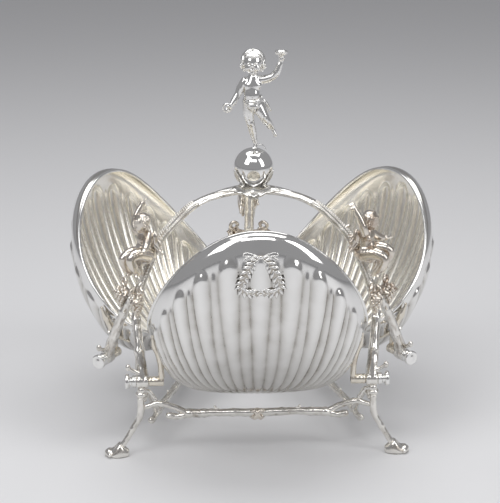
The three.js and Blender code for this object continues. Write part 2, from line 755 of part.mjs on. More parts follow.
const spinZ = (point, angle) => point.applyAxisAngle(vec(0, 0, 1), angle);
const legPlace = (corner, side, height) => spinZ(vec(bossOut, side * bossAside, height), corner);
const legPlaces = {
  front_left: legPlace(-5 * half, 1, 0),
  front_right: legPlace(-half, -1, 0),
  rear_left: legPlace(3 * half, 1, 0),
  rear_right: legPlace(3 * half, -1, 0),
};

// One half of a stretcher: from the middle of a span to the leg at its end.
function twigGeometry(from, to, height, tineTop, legTool) {
  const along = to.clone().sub(from).normalize();
  const aside = vec(0, 0, 1).cross(along);
  const length = from.distanceTo(to);
  const at = (distance, rise, out = 0) => from.clone().addScaledVector(along, distance)
    .addScaledVector(aside, out).setZ(rise);
  const reach = Math.min(tineReach, 0.6 * length);
  const gap = Math.min(knotGap, length / 6);
  const fork = length - reach;
  const barPath = [at(gap, height), at((gap + fork) / 2, height + budRadius / 2), at(fork, height)];
  const bar = sweep(barPath, [barRadius, barRadius * 0.85, barRadius], { sides: 6, steps: 2, side: aside });
  const tinePath = [at(fork, height), at(length - reach * 0.66, (height + tineTop) / 2 + budRadius),
    at(length - reach * 0.35, tineTop), at(length - reach * 0.18, tineTop - budRadius),
    at(length, tineTop - 2 * budRadius)];
  const tine = sweep(tinePath, [barRadius * 0.8, tineRadius, tineRadius * 1.1, tineRadius, tineRadius],
    { sides: 5, steps: 5, side: aside });
  const stubPath = [at(fork - barRadius, height), at(fork + stubLength * 0.5, height - barRadius),
    at(fork + stubLength, height - tineRadius)];
  const stub = sweep(stubPath, [barRadius * 0.8, tineRadius, tineRadius * 1.3],
    { sides: 5, steps: 2, side: aside });
  const parts = length > 3 * stubLength ? [bar, tine, stub] : [bar, tine];
  return cut(join(...parts), legTool);
}

// The legs swollen by the clearance, to cut the stretchers' ends.
const legTools = Object.fromEntries(cornerData.flatMap(({ spin, legs }) => legs.map(([side, splay, leg]) => {
  const tool = atLeg(legSkin(clearance), side, splay);
  tool.rotateZ(spin);
  return [leg, tool];
})));

const spans = [
  ['front', 'front_left', 'front_right', barHeight, tineHeight],
  ['rear', 'rear_left', 'rear_right', barHeight, tineHeight],
  ['left', 'front_left', 'rear_left', sideBarHeight, sideTineHeight],
  ['right', 'front_right', 'rear_right', sideBarHeight, sideTineHeight],
];
for (const [name, one, other, height, tineTop] of spans) {
  const middle = legPlaces[one].clone().lerp(legPlaces[other], 0.5);
  const knot = egg(middle.clone().setZ(height), vec(knotRadius, knotRadius, knotRadius * 0.9));
  const knotTool = egg(middle.clone().setZ(height), vec(1, 1, 0.9).multiplyScalar(knotRadius + clearance));
  for (const leg of [one, other]) {
    const twig = twigGeometry(middle, legPlaces[leg], height, tineTop, legTools[leg]);
    addMesh(object, `stretcher_${name}_to_${leg}`, cut(twig, knotTool), silver);
  }
  addMesh(object, `stretcher_knot_${name}`, knot, darkSilver);
}

// Crown, ball and finial

const crownLow = crownHeight - crownHalfThick;
const calyxLow = crownHeight + clearance;
const ballHeight = crownHeight + ballRise;
addMesh(object, 'crown_hub', cut(rodUp(crownLow, crownHeight, crownRadius, crownSides),
  rodUp(0, 2 * crownHeight, rodRadius + clearance)), silver);

const ballTool = new THREE.IcosahedronGeometry(ballRadius + clearance, ballDetail);
ballTool.translate(0, 0, ballHeight);

const calyxAngles = [-0.98, -0.7, -0.35, -0.03];
const cupShares = [0.98, 0.89, 0.7];
const cupRadius = ballRadius * 0.66;

// The cup's neck, flare and rim lie at shares of the ball's radius under its middle.
function calyxGeometry() {
  const neck = crownRadius * 0.8;
  const [neckTop, flare, rim] = cupShares.map(share => ballHeight - share * ballRadius);
  const outline = [[0, calyxLow], [neck, calyxLow], [neck, neckTop],
    [cupRadius, flare], [cupRadius, rim], [0, rim]];
  const cup = new THREE.LatheGeometry(outline.map(place => new THREE.Vector2(...place)), roundSides);
  cup.rotateX(Math.PI / 2);
  const leaves = cornerData.map(({ spin }) => {
    const lift = ballRadius + clearance + calyxThick / 3;
    const leafPlace = angle => spinZ(
      vec(lift * Math.cos(angle), 0, ballHeight + lift * Math.sin(angle)), spin);
    const across = spinZ(vec(0, 1, 0), spin);
    return sweep(calyxAngles.map(leafPlace),
      [calyxWidth * 0.5, calyxWidth, calyxWidth * 0.8, calyxWidth * 0.2],
      { side: across, flat: calyxThick / calyxWidth, steps: 4, sides: 4 });
  });
  return cut(join(cup, ...leaves), ballTool, rodUp(0, 2 * crownHeight, rodRadius + clearance));
}

addMesh(object, 'ball_calyx', calyxGeometry(), silver);
const ballSkin = new THREE.IcosahedronGeometry(ballRadius, ballDetail);
ballSkin.translate(0, 0, ballHeight);
const rodTop = ballHeight - ballRadius * 0.6;
addMesh(object, 'finial_ball', cut(ballSkin, rodUp(0, rodTop + clearance, rodRadius + clearance)), silver);

const nutTop = crownLow - clearance;
const nut = rodUp(nutTop - nutHeight, nutTop, nutRadius, 6);
const finialRod = rodUp(nutTop - nutHeight - rodRadius / 2, rodTop, rodRadius);
addMesh(object, 'finial_rod_and_nut', join(nut, finialRod), silver);

const dancer = figureSkin(dancerShares, figureHeight,
  point => point.add(vec(0, 0, ballHeight + ballRadius)));
addMesh(object, 'finial_putto', cut(dancer, ballTool), silver);

export default object;
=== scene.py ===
"""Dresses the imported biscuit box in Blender: fine silver shells, figures, vines and twigs.

Shapes are made in millimetres in the same local frames as the CAD, then set in the row frame in metres.
"""

import itertools
import math

import bpy
import numpy as np
from mathutils import Matrix, Vector


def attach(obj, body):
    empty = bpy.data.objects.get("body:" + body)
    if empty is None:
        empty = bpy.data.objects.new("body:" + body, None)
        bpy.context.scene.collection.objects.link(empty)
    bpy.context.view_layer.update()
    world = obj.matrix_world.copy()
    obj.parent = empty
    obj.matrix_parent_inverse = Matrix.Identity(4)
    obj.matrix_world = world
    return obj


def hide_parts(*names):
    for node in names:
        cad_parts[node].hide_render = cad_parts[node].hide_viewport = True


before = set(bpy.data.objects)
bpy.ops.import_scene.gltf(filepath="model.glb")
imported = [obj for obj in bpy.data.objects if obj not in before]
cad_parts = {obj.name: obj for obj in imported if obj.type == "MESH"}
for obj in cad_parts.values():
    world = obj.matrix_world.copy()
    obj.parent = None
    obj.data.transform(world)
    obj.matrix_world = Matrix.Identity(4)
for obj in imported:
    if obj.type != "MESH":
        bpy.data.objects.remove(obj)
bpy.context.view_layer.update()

MILLIMETRE = 0.001  # in metres
HOME = Matrix.Identity(4)

# Frames

PIVOT_OUT = 95.5
PIVOT_UP = 68.5
THIRD = math.radians(120)  # of a turn
TWELFTH = math.radians(30)
BARREL_INNER = 80.0
BOSS_INNER = 93.0
BOSS_WIDTH = 10.0
BOSS_MIDDLE = BOSS_INNER + BOSS_WIDTH / 2
BOSS_OUT = BOSS_MIDDLE * math.cos(TWELFTH) + PIVOT_OUT * math.sin(TWELFTH)
BOSS_ASIDE = PIVOT_OUT * math.cos(TWELFTH) - BOSS_MIDDLE * math.sin(TWELFTH)

# Name, turn about the axis, and how far the shell lies open
SECTORS = (
    ("front", 0.0, math.radians(23.4)),
    ("rear_left", -THIRD, math.radians(28.7)),
    ("rear_right", THIRD, math.radians(28.7)),
)
HANDS = (("left", -1), ("right", 1))
FRONT_SPLAY = math.radians(-30)
REAR_SPLAY = math.radians(34)

# Name, turn about the axis, branches on the + and - sides, and legs as (side, splay, name)
CORNERS = (
    ("front_left", -5 * TWELFTH, ("front_left", "rear_left_front"), ((1, FRONT_SPLAY, "front_left"),)),
    ("front_right", -TWELFTH, ("rear_right_front", "front_right"), ((-1, FRONT_SPLAY, "front_right"),)),
    (
        "rear", 3 * TWELFTH, ("rear_left_rear", "rear_right_rear"),
        ((1, REAR_SPLAY, "rear_left"), (-1, REAR_SPLAY, "rear_right")),
    ),
)


def turned_z(angle):
    return Matrix.Rotation(angle, 4, "Z")


def shifted(x, y, z):
    return Matrix.Translation((x * MILLIMETRE, y * MILLIMETRE, z * MILLIMETRE))


def hinge_frame(spin, opening):
    return turned_z(spin) @ shifted(0, -PIVOT_OUT, PIVOT_UP) @ Matrix.Rotation(opening, 4, "X")


def leg_frame(spin, side, splay):
    return turned_z(spin) @ shifted(BOSS_OUT, side * BOSS_ASIDE, 0) @ turned_z(side * splay)


# Mesh parts: each is (points in mm, faces, share of tarnished colour and painted shade at each point)


def part(points, faces, recess):
    points = np.asarray(points, float).reshape(-1, 3)
    return points, [tuple(int(i) for i in face) for face in faces], np.asarray(recess, float).ravel()


def merged(parts):
    points, faces, recess, start = [], [], [], 0
    for own_points, own_faces, own_recess in parts:
        points.append(own_points)
        faces += [tuple(i + start for i in face) for face in own_faces]
        recess.append(own_recess)
        start += len(own_points)
    return np.concatenate(points), faces, np.concatenate(recess)


def moved(item, matrix):
    """A part moved by a 4x4 matrix whose shifts are in metres."""
    points, faces, recess = item
    turn = np.array(matrix.to_3x3())
    shift = np.array(matrix.translation) / MILLIMETRE
    return points @ turn.T + shift, faces, recess


def around(count):
    """Angles at even steps round a circle."""
    return np.linspace(0, 2 * math.pi, count, endpoint=False)


def leaf_grid(rows, columns):
    """Shares along a leaf, from 0 to 1, and across it, from -1 to 1, as a column and a row."""
    return np.linspace(0, 1, rows)[:, None], np.linspace(-1, 1, columns)[None, :]


def grid_points(x, y, z):
    """Points from three arrays of coordinates, each stretched to the shape of the others."""
    return np.stack(np.broadcast_arrays(x, y, z), -1)


def grid_faces(rows, columns, closed=True):
    faces = []
    for row in range(rows - 1):
        for column in range(columns if closed else columns - 1):
            a, b = row * columns + column, row * columns + (column + 1) % columns
            faces.append((a, b, b + columns, a + columns))
    return faces


def lofted(rings, first, last, shade):
    """Skins an array of rings, rows x columns x 3, and closes each end with a point."""
    rows, columns = rings.shape[:2]
    size, top = rows * columns, (rows - 1) * columns
    after = [(column + 1) % columns for column in range(columns)]
    faces = grid_faces(rows, columns)
    faces += [(after[column], column, size) for column in range(columns)]
    faces += [(top + column, top + after[column], size + 1) for column in range(columns)]
    return part([*rings.reshape(-1, 3), first, last], faces, [*np.ravel(shade), 0.0, 0.0])


def smooth_path(points, count):
    """Catmull-Rom points at even steps of parameter through the given ones."""
    points = np.asarray(points, float)
    padded = np.concatenate([[2 * points[0] - points[1]], points, [2 * points[-1] - points[-2]]])
    places = np.linspace(0, len(points) - 1, count)
    index = np.minimum(places.astype(int), len(points) - 2)
    t = (places - index)[:, None]
    p0, p1, p2, p3 = (padded[index + k] for k in range(4))
    bend = (2 * p0 - 5 * p1 + 4 * p2 - p3) * t**2 + (3 * p1 - p0 - 3 * p2 + p3) * t**3
    return 0.5 * (2 * p1 + (p2 - p0) * t + bend)


def unit(vectors):
    vectors = np.asarray(vectors, float)
    return vectors / np.maximum(np.linalg.norm(vectors, axis=-1, keepdims=True), 1e-9)


def path_frames(path, across):
    """Tangents and two square directions along a path. With no across they turn as little as they can."""
    tangents = unit(np.gradient(path, axis=0))
    if across is not None:
        across = np.broadcast_to(np.asarray(across, float), path.shape)
        first = unit(across - tangents * np.sum(across * tangents, axis=1, keepdims=True))
        return tangents, first, np.cross(tangents, first)
    start = np.array([0, 0, 1.0]) if abs(tangents[0][2]) < 0.8 else np.array([1.0, 0, 0])
    first = [unit(start - tangents[0] * start.dot(tangents[0]))]
    for tangent in tangents[1:]:
        first.append(unit(first[-1] - tangent * first[-1].dot(tangent)))
    first = np.array(first)
    return tangents, first, np.cross(tangents, first)


def spread(values, count):
    """Values at even steps, read at count even places."""
    return np.interp(np.linspace(0, 1, count), np.linspace(0, 1, len(values)), values)


def tube(points, radii, sides, steps, across=None, wide=1.0, flat=1.0, shape=None):
    """Sweeps an oval along a smooth path, with rounded ends. shape(share, angle) multiplies the radius."""
    path = smooth_path(points, steps + 1)
    tangents, first, second = path_frames(path, across)
    radius = spread(radii, steps + 1)
    angles = around(sides)
    size = np.repeat(radius[:, None], sides, 1)
    if shape is not None:
        size *= shape(np.linspace(0, 1, steps + 1)[:, None], angles[None, :])
    rings = (
        path[:, None]
        + first[:, None] * (size * np.cos(angles) * wide)[..., None]
        + second[:, None] * (size * np.sin(angles) * flat)[..., None]
    )
    # Painted shade with tarnished colour: darker where the shape dips below the radius, in the bark's
    # grooves.
    shade = np.clip((1 - size / radius[:, None]) * 6, 0, 1)
    starts, ends = [], []
    thin = min(wide, flat)
    for lift in (0.5, 0.86):
        shrink = math.sqrt(1 - lift * lift)
        starts.insert(0, path[0] + (rings[0] - path[0]) * shrink - tangents[0] * radius[0] * thin * lift)
        ends.append(path[-1] + (rings[-1] - path[-1]) * shrink + tangents[-1] * radius[-1] * thin * lift)
    first_tip = path[0] - tangents[0] * radius[0] * thin
    last_tip = path[-1] + tangents[-1] * radius[-1] * thin
    shade = np.concatenate([shade[[0, 0]], shade, shade[[-1, -1]]])
    return lofted(np.concatenate([starts, rings, ends]), first_tip, last_tip, shade)


def closed_tube(path, radius):
    """A round tube along a closed path."""
    sides = 10
    tangents = unit(np.roll(path, -1, 0) - np.roll(path, 1, 0))
    side = unit(np.cross(tangents, np.array([0, 1.0, 0])))
    over = np.cross(tangents, side)
    angle = around(sides)[:, None]
    rings = path[:, None] + radius * (side[:, None] * np.cos(angle) + over[:, None] * np.sin(angle))
    size = len(path) * sides
    faces = [tuple(i % size for i in face) for face in grid_faces(len(path) + 1, sides)]
    return part(rings, faces, np.zeros(size))


def bark(seed, ridges, depth, knots=()):
    """A radius function for rough bark: long ridges, cross cracks and swollen knots at shares of the way."""
    phase = np.random.default_rng(seed).uniform(0, 2 * math.pi, 8)

    def shape(share, angle):
        wander = 0.5 * np.sin(9 * share + phase[0]) + 0.3 * np.sin(23 * share + phase[1])
        long_ridges = np.cos(ridges * angle + 3 * wander + phase[2])
        fine = np.cos((2 * ridges + 1) * angle - 19 * share + phase[3])
        rings = np.sin(61 * share + 2 * np.sin(2 * angle + phase[4]))
        size = 1 + depth * (0.6 * long_ridges + 0.35 * fine + 0.3 * rings)
        lobes = 1 + 0.25 * np.cos(3 * angle + phase[5])
        for place, swell, reach in knots:
            size = size + swell * np.exp(-(((share - place) / reach) ** 2)) * lobes
        return size

    return shape


def ball(centre, radii, rows, columns, shade=0.0):
    """An egg shape."""
    tilt = np.linspace(0, math.pi, rows + 1)[1:-1, None]
    angle = around(columns)[None, :]
    rings = grid_points(np.sin(tilt) * np.cos(angle), np.sin(tilt) * np.sin(angle), -np.cos(tilt))
    radii, centre = np.asarray(radii, float), np.asarray(centre, float)
    pole = np.array([0, 0, 1.0]) * radii
    return lofted(rings * radii + centre, centre - pole, centre + pole, np.full(rings.shape[:2], shade))


def turned(profile, sides, axis="X"):
    """A solid of revolution from points of (place along the axis, radius). It starts and ends on the axis."""
    profile = np.asarray(profile, float)
    along, radius = profile[1:-1].T[..., None]
    angle = around(sides)
    rings = grid_points(along, radius * np.cos(angle), radius * np.sin(angle))
    ends = [(profile[end][0], 0, 0) for end in (0, -1)]
    points, faces, shade = lofted(rings, *ends, np.zeros(rings.shape[:2]))
    return points[:, [1, 2, 0]] if axis == "Z" else points, faces, shade


def sheet_part(rows, thickness, shade):
    """A closed thin solid from a grid of points. It is thickened to both sides of the sheet."""
    normal = unit(np.cross(np.gradient(rows, axis=0), np.gradient(rows, axis=1)))
    thick = normal * np.broadcast_to(thickness, rows.shape[:2])[..., None] / 2
    count, columns = rows.shape[:2]
    size = count * columns
    upper = [face[::-1] for face in grid_faces(count, columns, closed=False)]
    lower = [tuple(i + size for i in face[::-1]) for face in upper]
    edge = (
        [(0, c) for c in range(columns)]
        + [(r, columns - 1) for r in range(1, count)]
        + [(count - 1, c) for c in range(columns - 2, -1, -1)]
        + [(r, 0) for r in range(count - 2, 0, -1)]
    )
    ids = [r * columns + c for r, c in edge]
    walls = [(a, b, b + size, a + size) for a, b in zip(ids, ids[1:] + ids[:1])]
    return part([rows + thick, rows - thick], upper + lower + walls, [shade, shade])


def leaf_points(origin, along, up, x, y, z):
    """Points of a leaf at grids of steps along it, to its side and up from it."""
    along, up = unit(along), np.asarray(up, float)
    up = unit(up - along * up.dot(along))
    steps = grid_points(x, y, z)
    return np.asarray(origin, float) + steps @ np.array([along, np.cross(up, along), up])


def laurel_leaf(origin, along, up, length):
    """A leaf from its stalk, with a midrib, side veins, a rounded outline and a curl at the tip."""
    width = 0.42 * length
    u, v = leaf_grid(7, 5)
    outline = np.sin(math.pi * np.clip(u, 0.03, 0.985) ** 0.8) ** 0.75
    drop = 0.2 * width * (np.abs(v) ** 1.5) * outline
    vein = 0.05 * width * np.cos(6 * math.pi * (u - 0.25 * np.abs(v))) * (1 - np.abs(v))
    curl = 0.14 * length * np.sin(1.5 * math.pi * u**1.6) * 0.6
    rib = 0.07 * width * np.exp(-((v / 0.16) ** 2)) * (1 - u)
    height = curl - drop + vein * outline + rib
    points = leaf_points(origin, along, up, u * length, v * 0.5 * width * outline, height)
    # Painted shade: a dark band beside the midrib and at the stalk end.
    shade = np.clip(0.7 * np.exp(-(((np.abs(v) - 0.3) / 0.14) ** 2)) + 0.5 * np.exp(-((u / 0.1) ** 2)), 0, 1)
    return sheet_part(points, 0.6 * (0.35 + 0.65 * (1 - np.abs(v))), shade)


# Clay: figures built from soft joins of simple shapes, then skinned


class Clay:
    """A block of distances to a surface, in millimetres."""

    def __init__(self, low, high, step):
        self.low = np.asarray(low, float)
        self.step = step
        self.shape = np.ceil((np.asarray(high, float) - self.low) / step).astype(int) + 1
        self.field = np.full(self.shape, 9.0, np.float32)

    def press(self, origin, low, high, distance, soft, carve=False):
        """Joins a shape into the block, or cuts it away. distance takes offsets from the origin."""
        reach = soft + 3 * self.step
        first = np.clip(np.floor((low - reach - self.low) / self.step).astype(int), 0, self.shape)
        last = np.clip(np.ceil((high + reach - self.low) / self.step).astype(int), 0, self.shape)
        if np.any(last <= first):
            return
        where = tuple(slice(a, b) for a, b in zip(first, last))
        axes = [self.low[k] + self.step * np.arange(first[k], last[k]) - origin[k] for k in range(3)]
        new = distance(np.meshgrid(*axes, indexing="ij", sparse=True))
        old = -self.field[where] if carve else self.field[where]
        mix = np.clip(0.5 + 0.5 * (new - old) / soft, 0, 1)
        joined = new + (old - new) * mix - soft * mix * (1 - mix)
        self.field[where] = -joined if carve else joined

    def egg(self, centre, radii, soft, turn=np.eye(3), carve=False):
        centre = np.asarray(centre, float)
        radii = np.broadcast_to(np.asarray(radii, float), (3,))

        def distance(p):
            q = [sum(turn[k][axis] * p[k] for k in range(3)) for axis in range(3)]
            near = np.sqrt(sum((q[k] / radii[k]) ** 2 for k in range(3)))
            far = np.sqrt(sum((q[k] / radii[k] ** 2) ** 2 for k in range(3)))
            return near * (near - 1) / np.maximum(far, 1e-6)

        reach = max(radii)
        self.press(centre, centre - reach, centre + reach, distance, soft, carve)

    def cone(self, a, b, radius_a, radius_b, soft):
        a, b = np.asarray(a, float), np.asarray(b, float)
        axis = b - a
        length = max(axis.dot(axis), 1e-9)

        def distance(p):
            t = np.clip(sum(p[k] * axis[k] for k in range(3)) / length, 0, 1)
            off = np.sqrt(sum((p[k] - t * axis[k]) ** 2 for k in range(3)))
            return off - (radius_a + t * (radius_b - radius_a))

        reach = max(radius_a, radius_b)
        self.press(a, np.minimum(a, b) - reach, np.maximum(a, b) + reach, distance, soft)

    def limb(self, points, radii, soft, steps=4):
        """A chain of cones along a smooth path."""
        count = steps * (len(points) - 1) + 1
        path, sizes = smooth_path(points, count), spread(radii, count)
        for index in range(count - 1):
            self.cone(path[index], path[index + 1], sizes[index], sizes[index + 1], 0.3 if index else soft)

    def ring(self, centre, axis, big, small):
        axis = unit(axis)

        def distance(p):
            lift = sum(p[k] * axis[k] for k in range(3))
            out = np.sqrt(np.maximum(sum(q * q for q in p) - lift * lift, 0))
            return np.sqrt((out - big) ** 2 + lift * lift) - small

        reach = big + small
        self.press(centre, centre - reach, centre + reach, distance, 0.3)

    def skin(self):
        """Surface nets, with a share of tarnished colour and painted shade at each point from how hollow the
        surface is there.
        """
        field = self.field
        inside = field < 0
        cells_shape = np.array(field.shape) - 1
        corners = [np.array(c) for c in itertools.product((0, 1), repeat=3)]
        total = np.zeros(cells_shape, np.int8)
        for c in corners:
            total += inside[tuple(slice(c[k], c[k] + cells_shape[k]) for k in range(3))]
        active = (total > 0) & (total < 8)
        cells = np.argwhere(active)
        index = np.full(cells_shape, -1)
        index[active] = np.arange(len(cells))
        place, hits = np.zeros((len(cells), 3)), np.zeros(len(cells))
        for a, b in itertools.combinations(corners, 2):
            if np.abs(a - b).sum() != 1:
                continue
            value_a, value_b = field[tuple((cells + a).T)], field[tuple((cells + b).T)]
            crossed = (value_a < 0) != (value_b < 0)
            t = value_a[crossed] / (value_a[crossed] - value_b[crossed])
            place[crossed] += a + t[:, None] * (b - a)
            hits[crossed] += 1
        points = self.low + (cells + place / hits[:, None]) * self.step
        return points, self.net_faces(inside, index), self.hollows(cells)

    @staticmethod
    def net_faces(inside, index):
        """A quad round each edge of the block that the surface crosses, wound to face outwards."""
        faces, steps = [], np.eye(3, dtype=int)
        for axis in range(3):
            one, two = steps[(axis + 1) % 3], steps[(axis + 2) % 3]
            here, there = (
                inside[tuple(cut if k == axis else slice(None) for k in range(3))]
                for cut in (slice(0, -1), slice(1, None))
            )
            edges = np.argwhere(here != there)
            edges = edges[(edges @ one > 0) & (edges @ two > 0)]
            edges = edges[np.all(edges < np.array(index.shape), axis=1)]
            quad = np.stack([index[tuple((edges - back).T)] for back in (one + two, two, 0 * one, one)], 1)
            outward = here[tuple(edges.T)]
            quad[~outward] = quad[~outward][:, ::-1]
            faces.append(quad)
        return np.concatenate(faces).tolist()

    def hollows(self, cells):
        """How far the surface lies below its blurred self at each cell."""
        blurred = np.clip(self.field, -3, 3)
        reach = max(1, round(1.4 / self.step))
        for axis in range(3):
            margins = [(reach + 1, reach) if k == axis else (0, 0) for k in range(3)]
            total = np.cumsum(np.pad(blurred, margins, mode="edge"), axis)
            high = np.take(total, range(2 * reach + 1, total.shape[axis]), axis)
            low = np.take(total, range(0, total.shape[axis] - 2 * reach - 1), axis)
            blurred = (high - low) / (2 * reach + 1)
        where = tuple(cells.T)
        # Deep hollows get painted shade with the tarnished colour.
        return np.clip((self.field[where] - blurred[where]) / 0.3 - 0.25, 0, 1)


# Materials


def add_node(tree, kind, links=(), **values):
    """A shader node with its settings and values, and links as pairs of (input, source)."""
    node = tree.nodes.new(kind)
    for key, value in values.items():
        if key in node.inputs:
            node.inputs[key].default_value = value
        else:
            setattr(node, key, value)
    for key, source in links:
        tree.links.new(source, node.inputs[key])
    return node


def mixed(tree, factor, one, two):
    """A colour mix. two is a colour, and one is a colour or a source."""
    node = add_node(tree, "ShaderNodeMix", data_type="RGBA")
    tree.links.new(factor, node.inputs["Factor"])
    node.inputs[7].default_value = two
    if isinstance(one, tuple):
        node.inputs[6].default_value = one
    else:
        tree.links.new(one, node.inputs[6])
    return node.outputs[2]


def ranged(tree, source, low, high, to_low, to_high):
    ends = {"From Min": low, "From Max": high, "To Min": to_low, "To Max": to_high}
    return add_node(tree, "ShaderNodeMapRange", [("Value", source)], **ends).outputs["Result"]


def noise(tree, source, scale, detail):
    links = [("Vector", source)]
    return add_node(tree, "ShaderNodeTexNoise", links, Scale=scale, Detail=detail).outputs["Fac"]


def combined(tree, operation, one, two):
    links = [(0, one), (1, two)]
    return add_node(tree, "ShaderNodeMath", links, operation=operation, use_clamp=True).outputs["Value"]


def silver_material(name, bright, dark, rough, grain, recess_share, patch, warm=None):
    """Polished silver plate: brown-black tarnished colour in the recesses, which there also paints shade,
    cloudy wear, fine scratches and grain.
    """
    material = bpy.data.materials.new(name)
    material.use_nodes = True
    tree = material.node_tree
    shader = tree.nodes["Principled BSDF"]
    shader.inputs["Metallic"].default_value = 1.0
    place = add_node(tree, "ShaderNodeTexCoord").outputs["Object"]
    recess = add_node(tree, "ShaderNodeAttribute", attribute_name="recess").outputs["Fac"]
    clouds = noise(tree, place, 55.0, 4.0)
    fine = noise(tree, place, 700.0, 2.0)
    stretched = add_node(tree, "ShaderNodeMapping", [("Vector", place)], Scale=(1.0, 7.0, 0.7))
    scratches = noise(tree, stretched.outputs["Vector"], 260.0, 2.0)
    # Painted shade: the dark colour laid by the share at each point darkens recesses and grooves as shade as
    # well as tarnished colour; the cloudy patches are tarnished colour only.
    broken = ranged(tree, clouds, 0.3, 0.7, 0.55 * recess_share, recess_share)
    recess_tarnish_and_shade = combined(tree, "MULTIPLY", recess, broken)
    tarnish_and_shade = combined(tree, "ADD", recess_tarnish_and_shade, ranged(tree, clouds, 0.52, 0.78, 0.0, patch))
    colour = mixed(tree, tarnish_and_shade, bright, dark)
    wear = ranged(tree, scratches, 0.35, 0.7, rough, rough + 0.05)
    if warm is not None:
        inner = add_node(tree, "ShaderNodeAttribute", attribute_name="inner").outputs["Fac"]
        share = combined(tree, "MULTIPLY", inner, ranged(tree, clouds, 0.2, 0.8, 0.7, 1.0))
        colour = mixed(tree, share, colour, warm)
        dull = combined(tree, "MULTIPLY", inner, ranged(tree, clouds, 0.2, 0.8, 0.1, 0.14))
        wear = combined(tree, "ADD", wear, dull)
    tree.links.new(colour, shader.inputs["Base Color"])
    rougher = combined(tree, "MULTIPLY", tarnish_and_shade, ranged(tree, fine, 0.2, 0.8, 0.22, 0.4))
    tree.links.new(combined(tree, "ADD", wear, rougher), shader.inputs["Roughness"])
    heights = add_node(tree, "ShaderNodeMix", [(2, fine), (3, scratches)], data_type="FLOAT", Factor=0.5)
    bump = add_node(tree, "ShaderNodeBump", [("Height", heights.outputs[0])], Strength=grain, Distance=0.0004)
    tree.links.new(bump.outputs["Normal"], shader.inputs["Normal"])
    return material


# Bright and dark colours, roughness, grain, tarnished colour with painted shade in recesses and tarnished
# colour in patches, and a warmer inside
SILVER_LOOKS = {
    "shell_silver": (
        (0.9, 0.895, 0.88, 1), (0.2, 0.17, 0.13, 1), 0.055, 0.02, 0.75, 0.04, (0.95, 0.92, 0.85, 1)
    ),
    "bright_silver": ((0.88, 0.875, 0.86, 1), (0.3, 0.25, 0.18, 1), 0.08, 0.04, 0.8, 0.12),
    "worn_silver": ((0.8, 0.75, 0.66, 1), (0.3, 0.2, 0.12, 1), 0.16, 0.08, 0.9, 0.45),
    "bark_silver": ((0.85, 0.83, 0.79, 1), (0.22, 0.17, 0.12, 1), 0.13, 0.15, 0.9, 0.4),
    "tarnished_silver": ((0.78, 0.73, 0.66, 1), (0.26, 0.15, 0.075, 1), 0.12, 0.1, 0.95, 0.75),
}
SILVERS = {name: silver_material(name, *look) for name, look in SILVER_LOOKS.items()}


# Pieces


def new_mesh(name, points, faces, **shades):
    """A smooth-shaded mesh in metres, with a number at each point for each shade."""
    mesh = bpy.data.meshes.new(name)
    mesh.from_pydata((points * MILLIMETRE).tolist(), [], faces)
    mesh.polygons.foreach_set("use_smooth", [True] * len(mesh.polygons))
    for shade, values in shades.items():
        mesh.attributes.new(shade, "FLOAT", "POINT").data.foreach_set("value", values.astype(np.float32))
    mesh.update()
    return mesh


def add_object(name, data):
    """A new object in the scene."""
    item = bpy.data.objects.new(name, data)
    bpy.context.scene.collection.objects.link(item)
    return item


def place_piece(name, mesh, matrix, body, silver, node):
    """Sets a mesh in the row frame, as a piece that rides on a body and stands for a node."""
    mesh.transform(matrix)
    mesh.materials.append(SILVERS[silver])
    piece = add_object(name, mesh)
    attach(piece, body)
    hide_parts(node)


def make_piece(name, parts, matrix, body, silver, node):
    """Makes one mesh object from parts in a local frame, and sets it on a body."""
    points, faces, recess = merged(parts)
    place_piece(name, new_mesh(name, points, faces, recess=recess), matrix, body, silver, node)


# Shells, in a frame with X along the pivot, Y into the bowl's mouth and Z up the shell

RIM_HALF_WIDTH = 89.3
RIM_HALF_HEIGHT = 83.7
RIM_MIDDLE = 67.4
RIM_SIDE_BOW = 13.5
RIM_LEAN = 11.3
RIM_CUP = 27.6
RIM_EGG = 0.22
RIM_POWER = 2.15
BOWL_DEPTH = 30.0
BOWL_TUCK = 29.5
SHOULDER_RISE = 40.0
TOP_INSET = 0.07
LOW_INSET = 0.14
POLE_DROP = 17.6
POLE_INSET = 18.0
FLOOR_REACH = 52.0
FLOOR_SWING = 23.5
FLOOR_DIP = 8.5
FLOOR_WIDTH = 1.03
WALL = 1.2
FLUTE_COUNT = 20
FLUTE_HEIGHT = 2.8
FLUTE_PLACES = np.linspace(-0.5, 0.5, 35)[:-1]
LOBE_HALVES = (0.34, 0.25)  # of the pitch, at the flutes' tops and at their feet
RIB_HALVES = (0.13, 0.22)
RIB_SHARES = (0.6, 0.9)
CHANGE_START = 0.3
CHANGE_REACH = 0.35
ROUND_POWER = 0.7
LOBE_START = 0.205
RIB_START = 0.245
RISE_REACH = 0.05
FADE_POWER = 0.55
BAND_SHARE = 0.034
BAND_STEP = 0.006
BAND_PROUD = 0.2
SKIN_INSET = 0.5
RIM_BEAD = 1.5


def signed_power(value):
    return np.sign(value) * np.abs(value) ** (2 / RIM_POWER)


def soft_step(value):
    value = np.clip(value, 0, 1)
    return value * value * (3 - 2 * value)


def rim_points(angle):
    across, up = signed_power(np.cos(angle)), signed_power(np.sin(angle))
    x = RIM_HALF_WIDTH * across * (1 - RIM_EGG * up)
    y = RIM_SIDE_BOW * (x / RIM_HALF_WIDTH) ** 2 - RIM_LEAN * up + RIM_CUP * up**2
    return np.stack([x, y, RIM_MIDDLE + RIM_HALF_HEIGHT * up], -1)


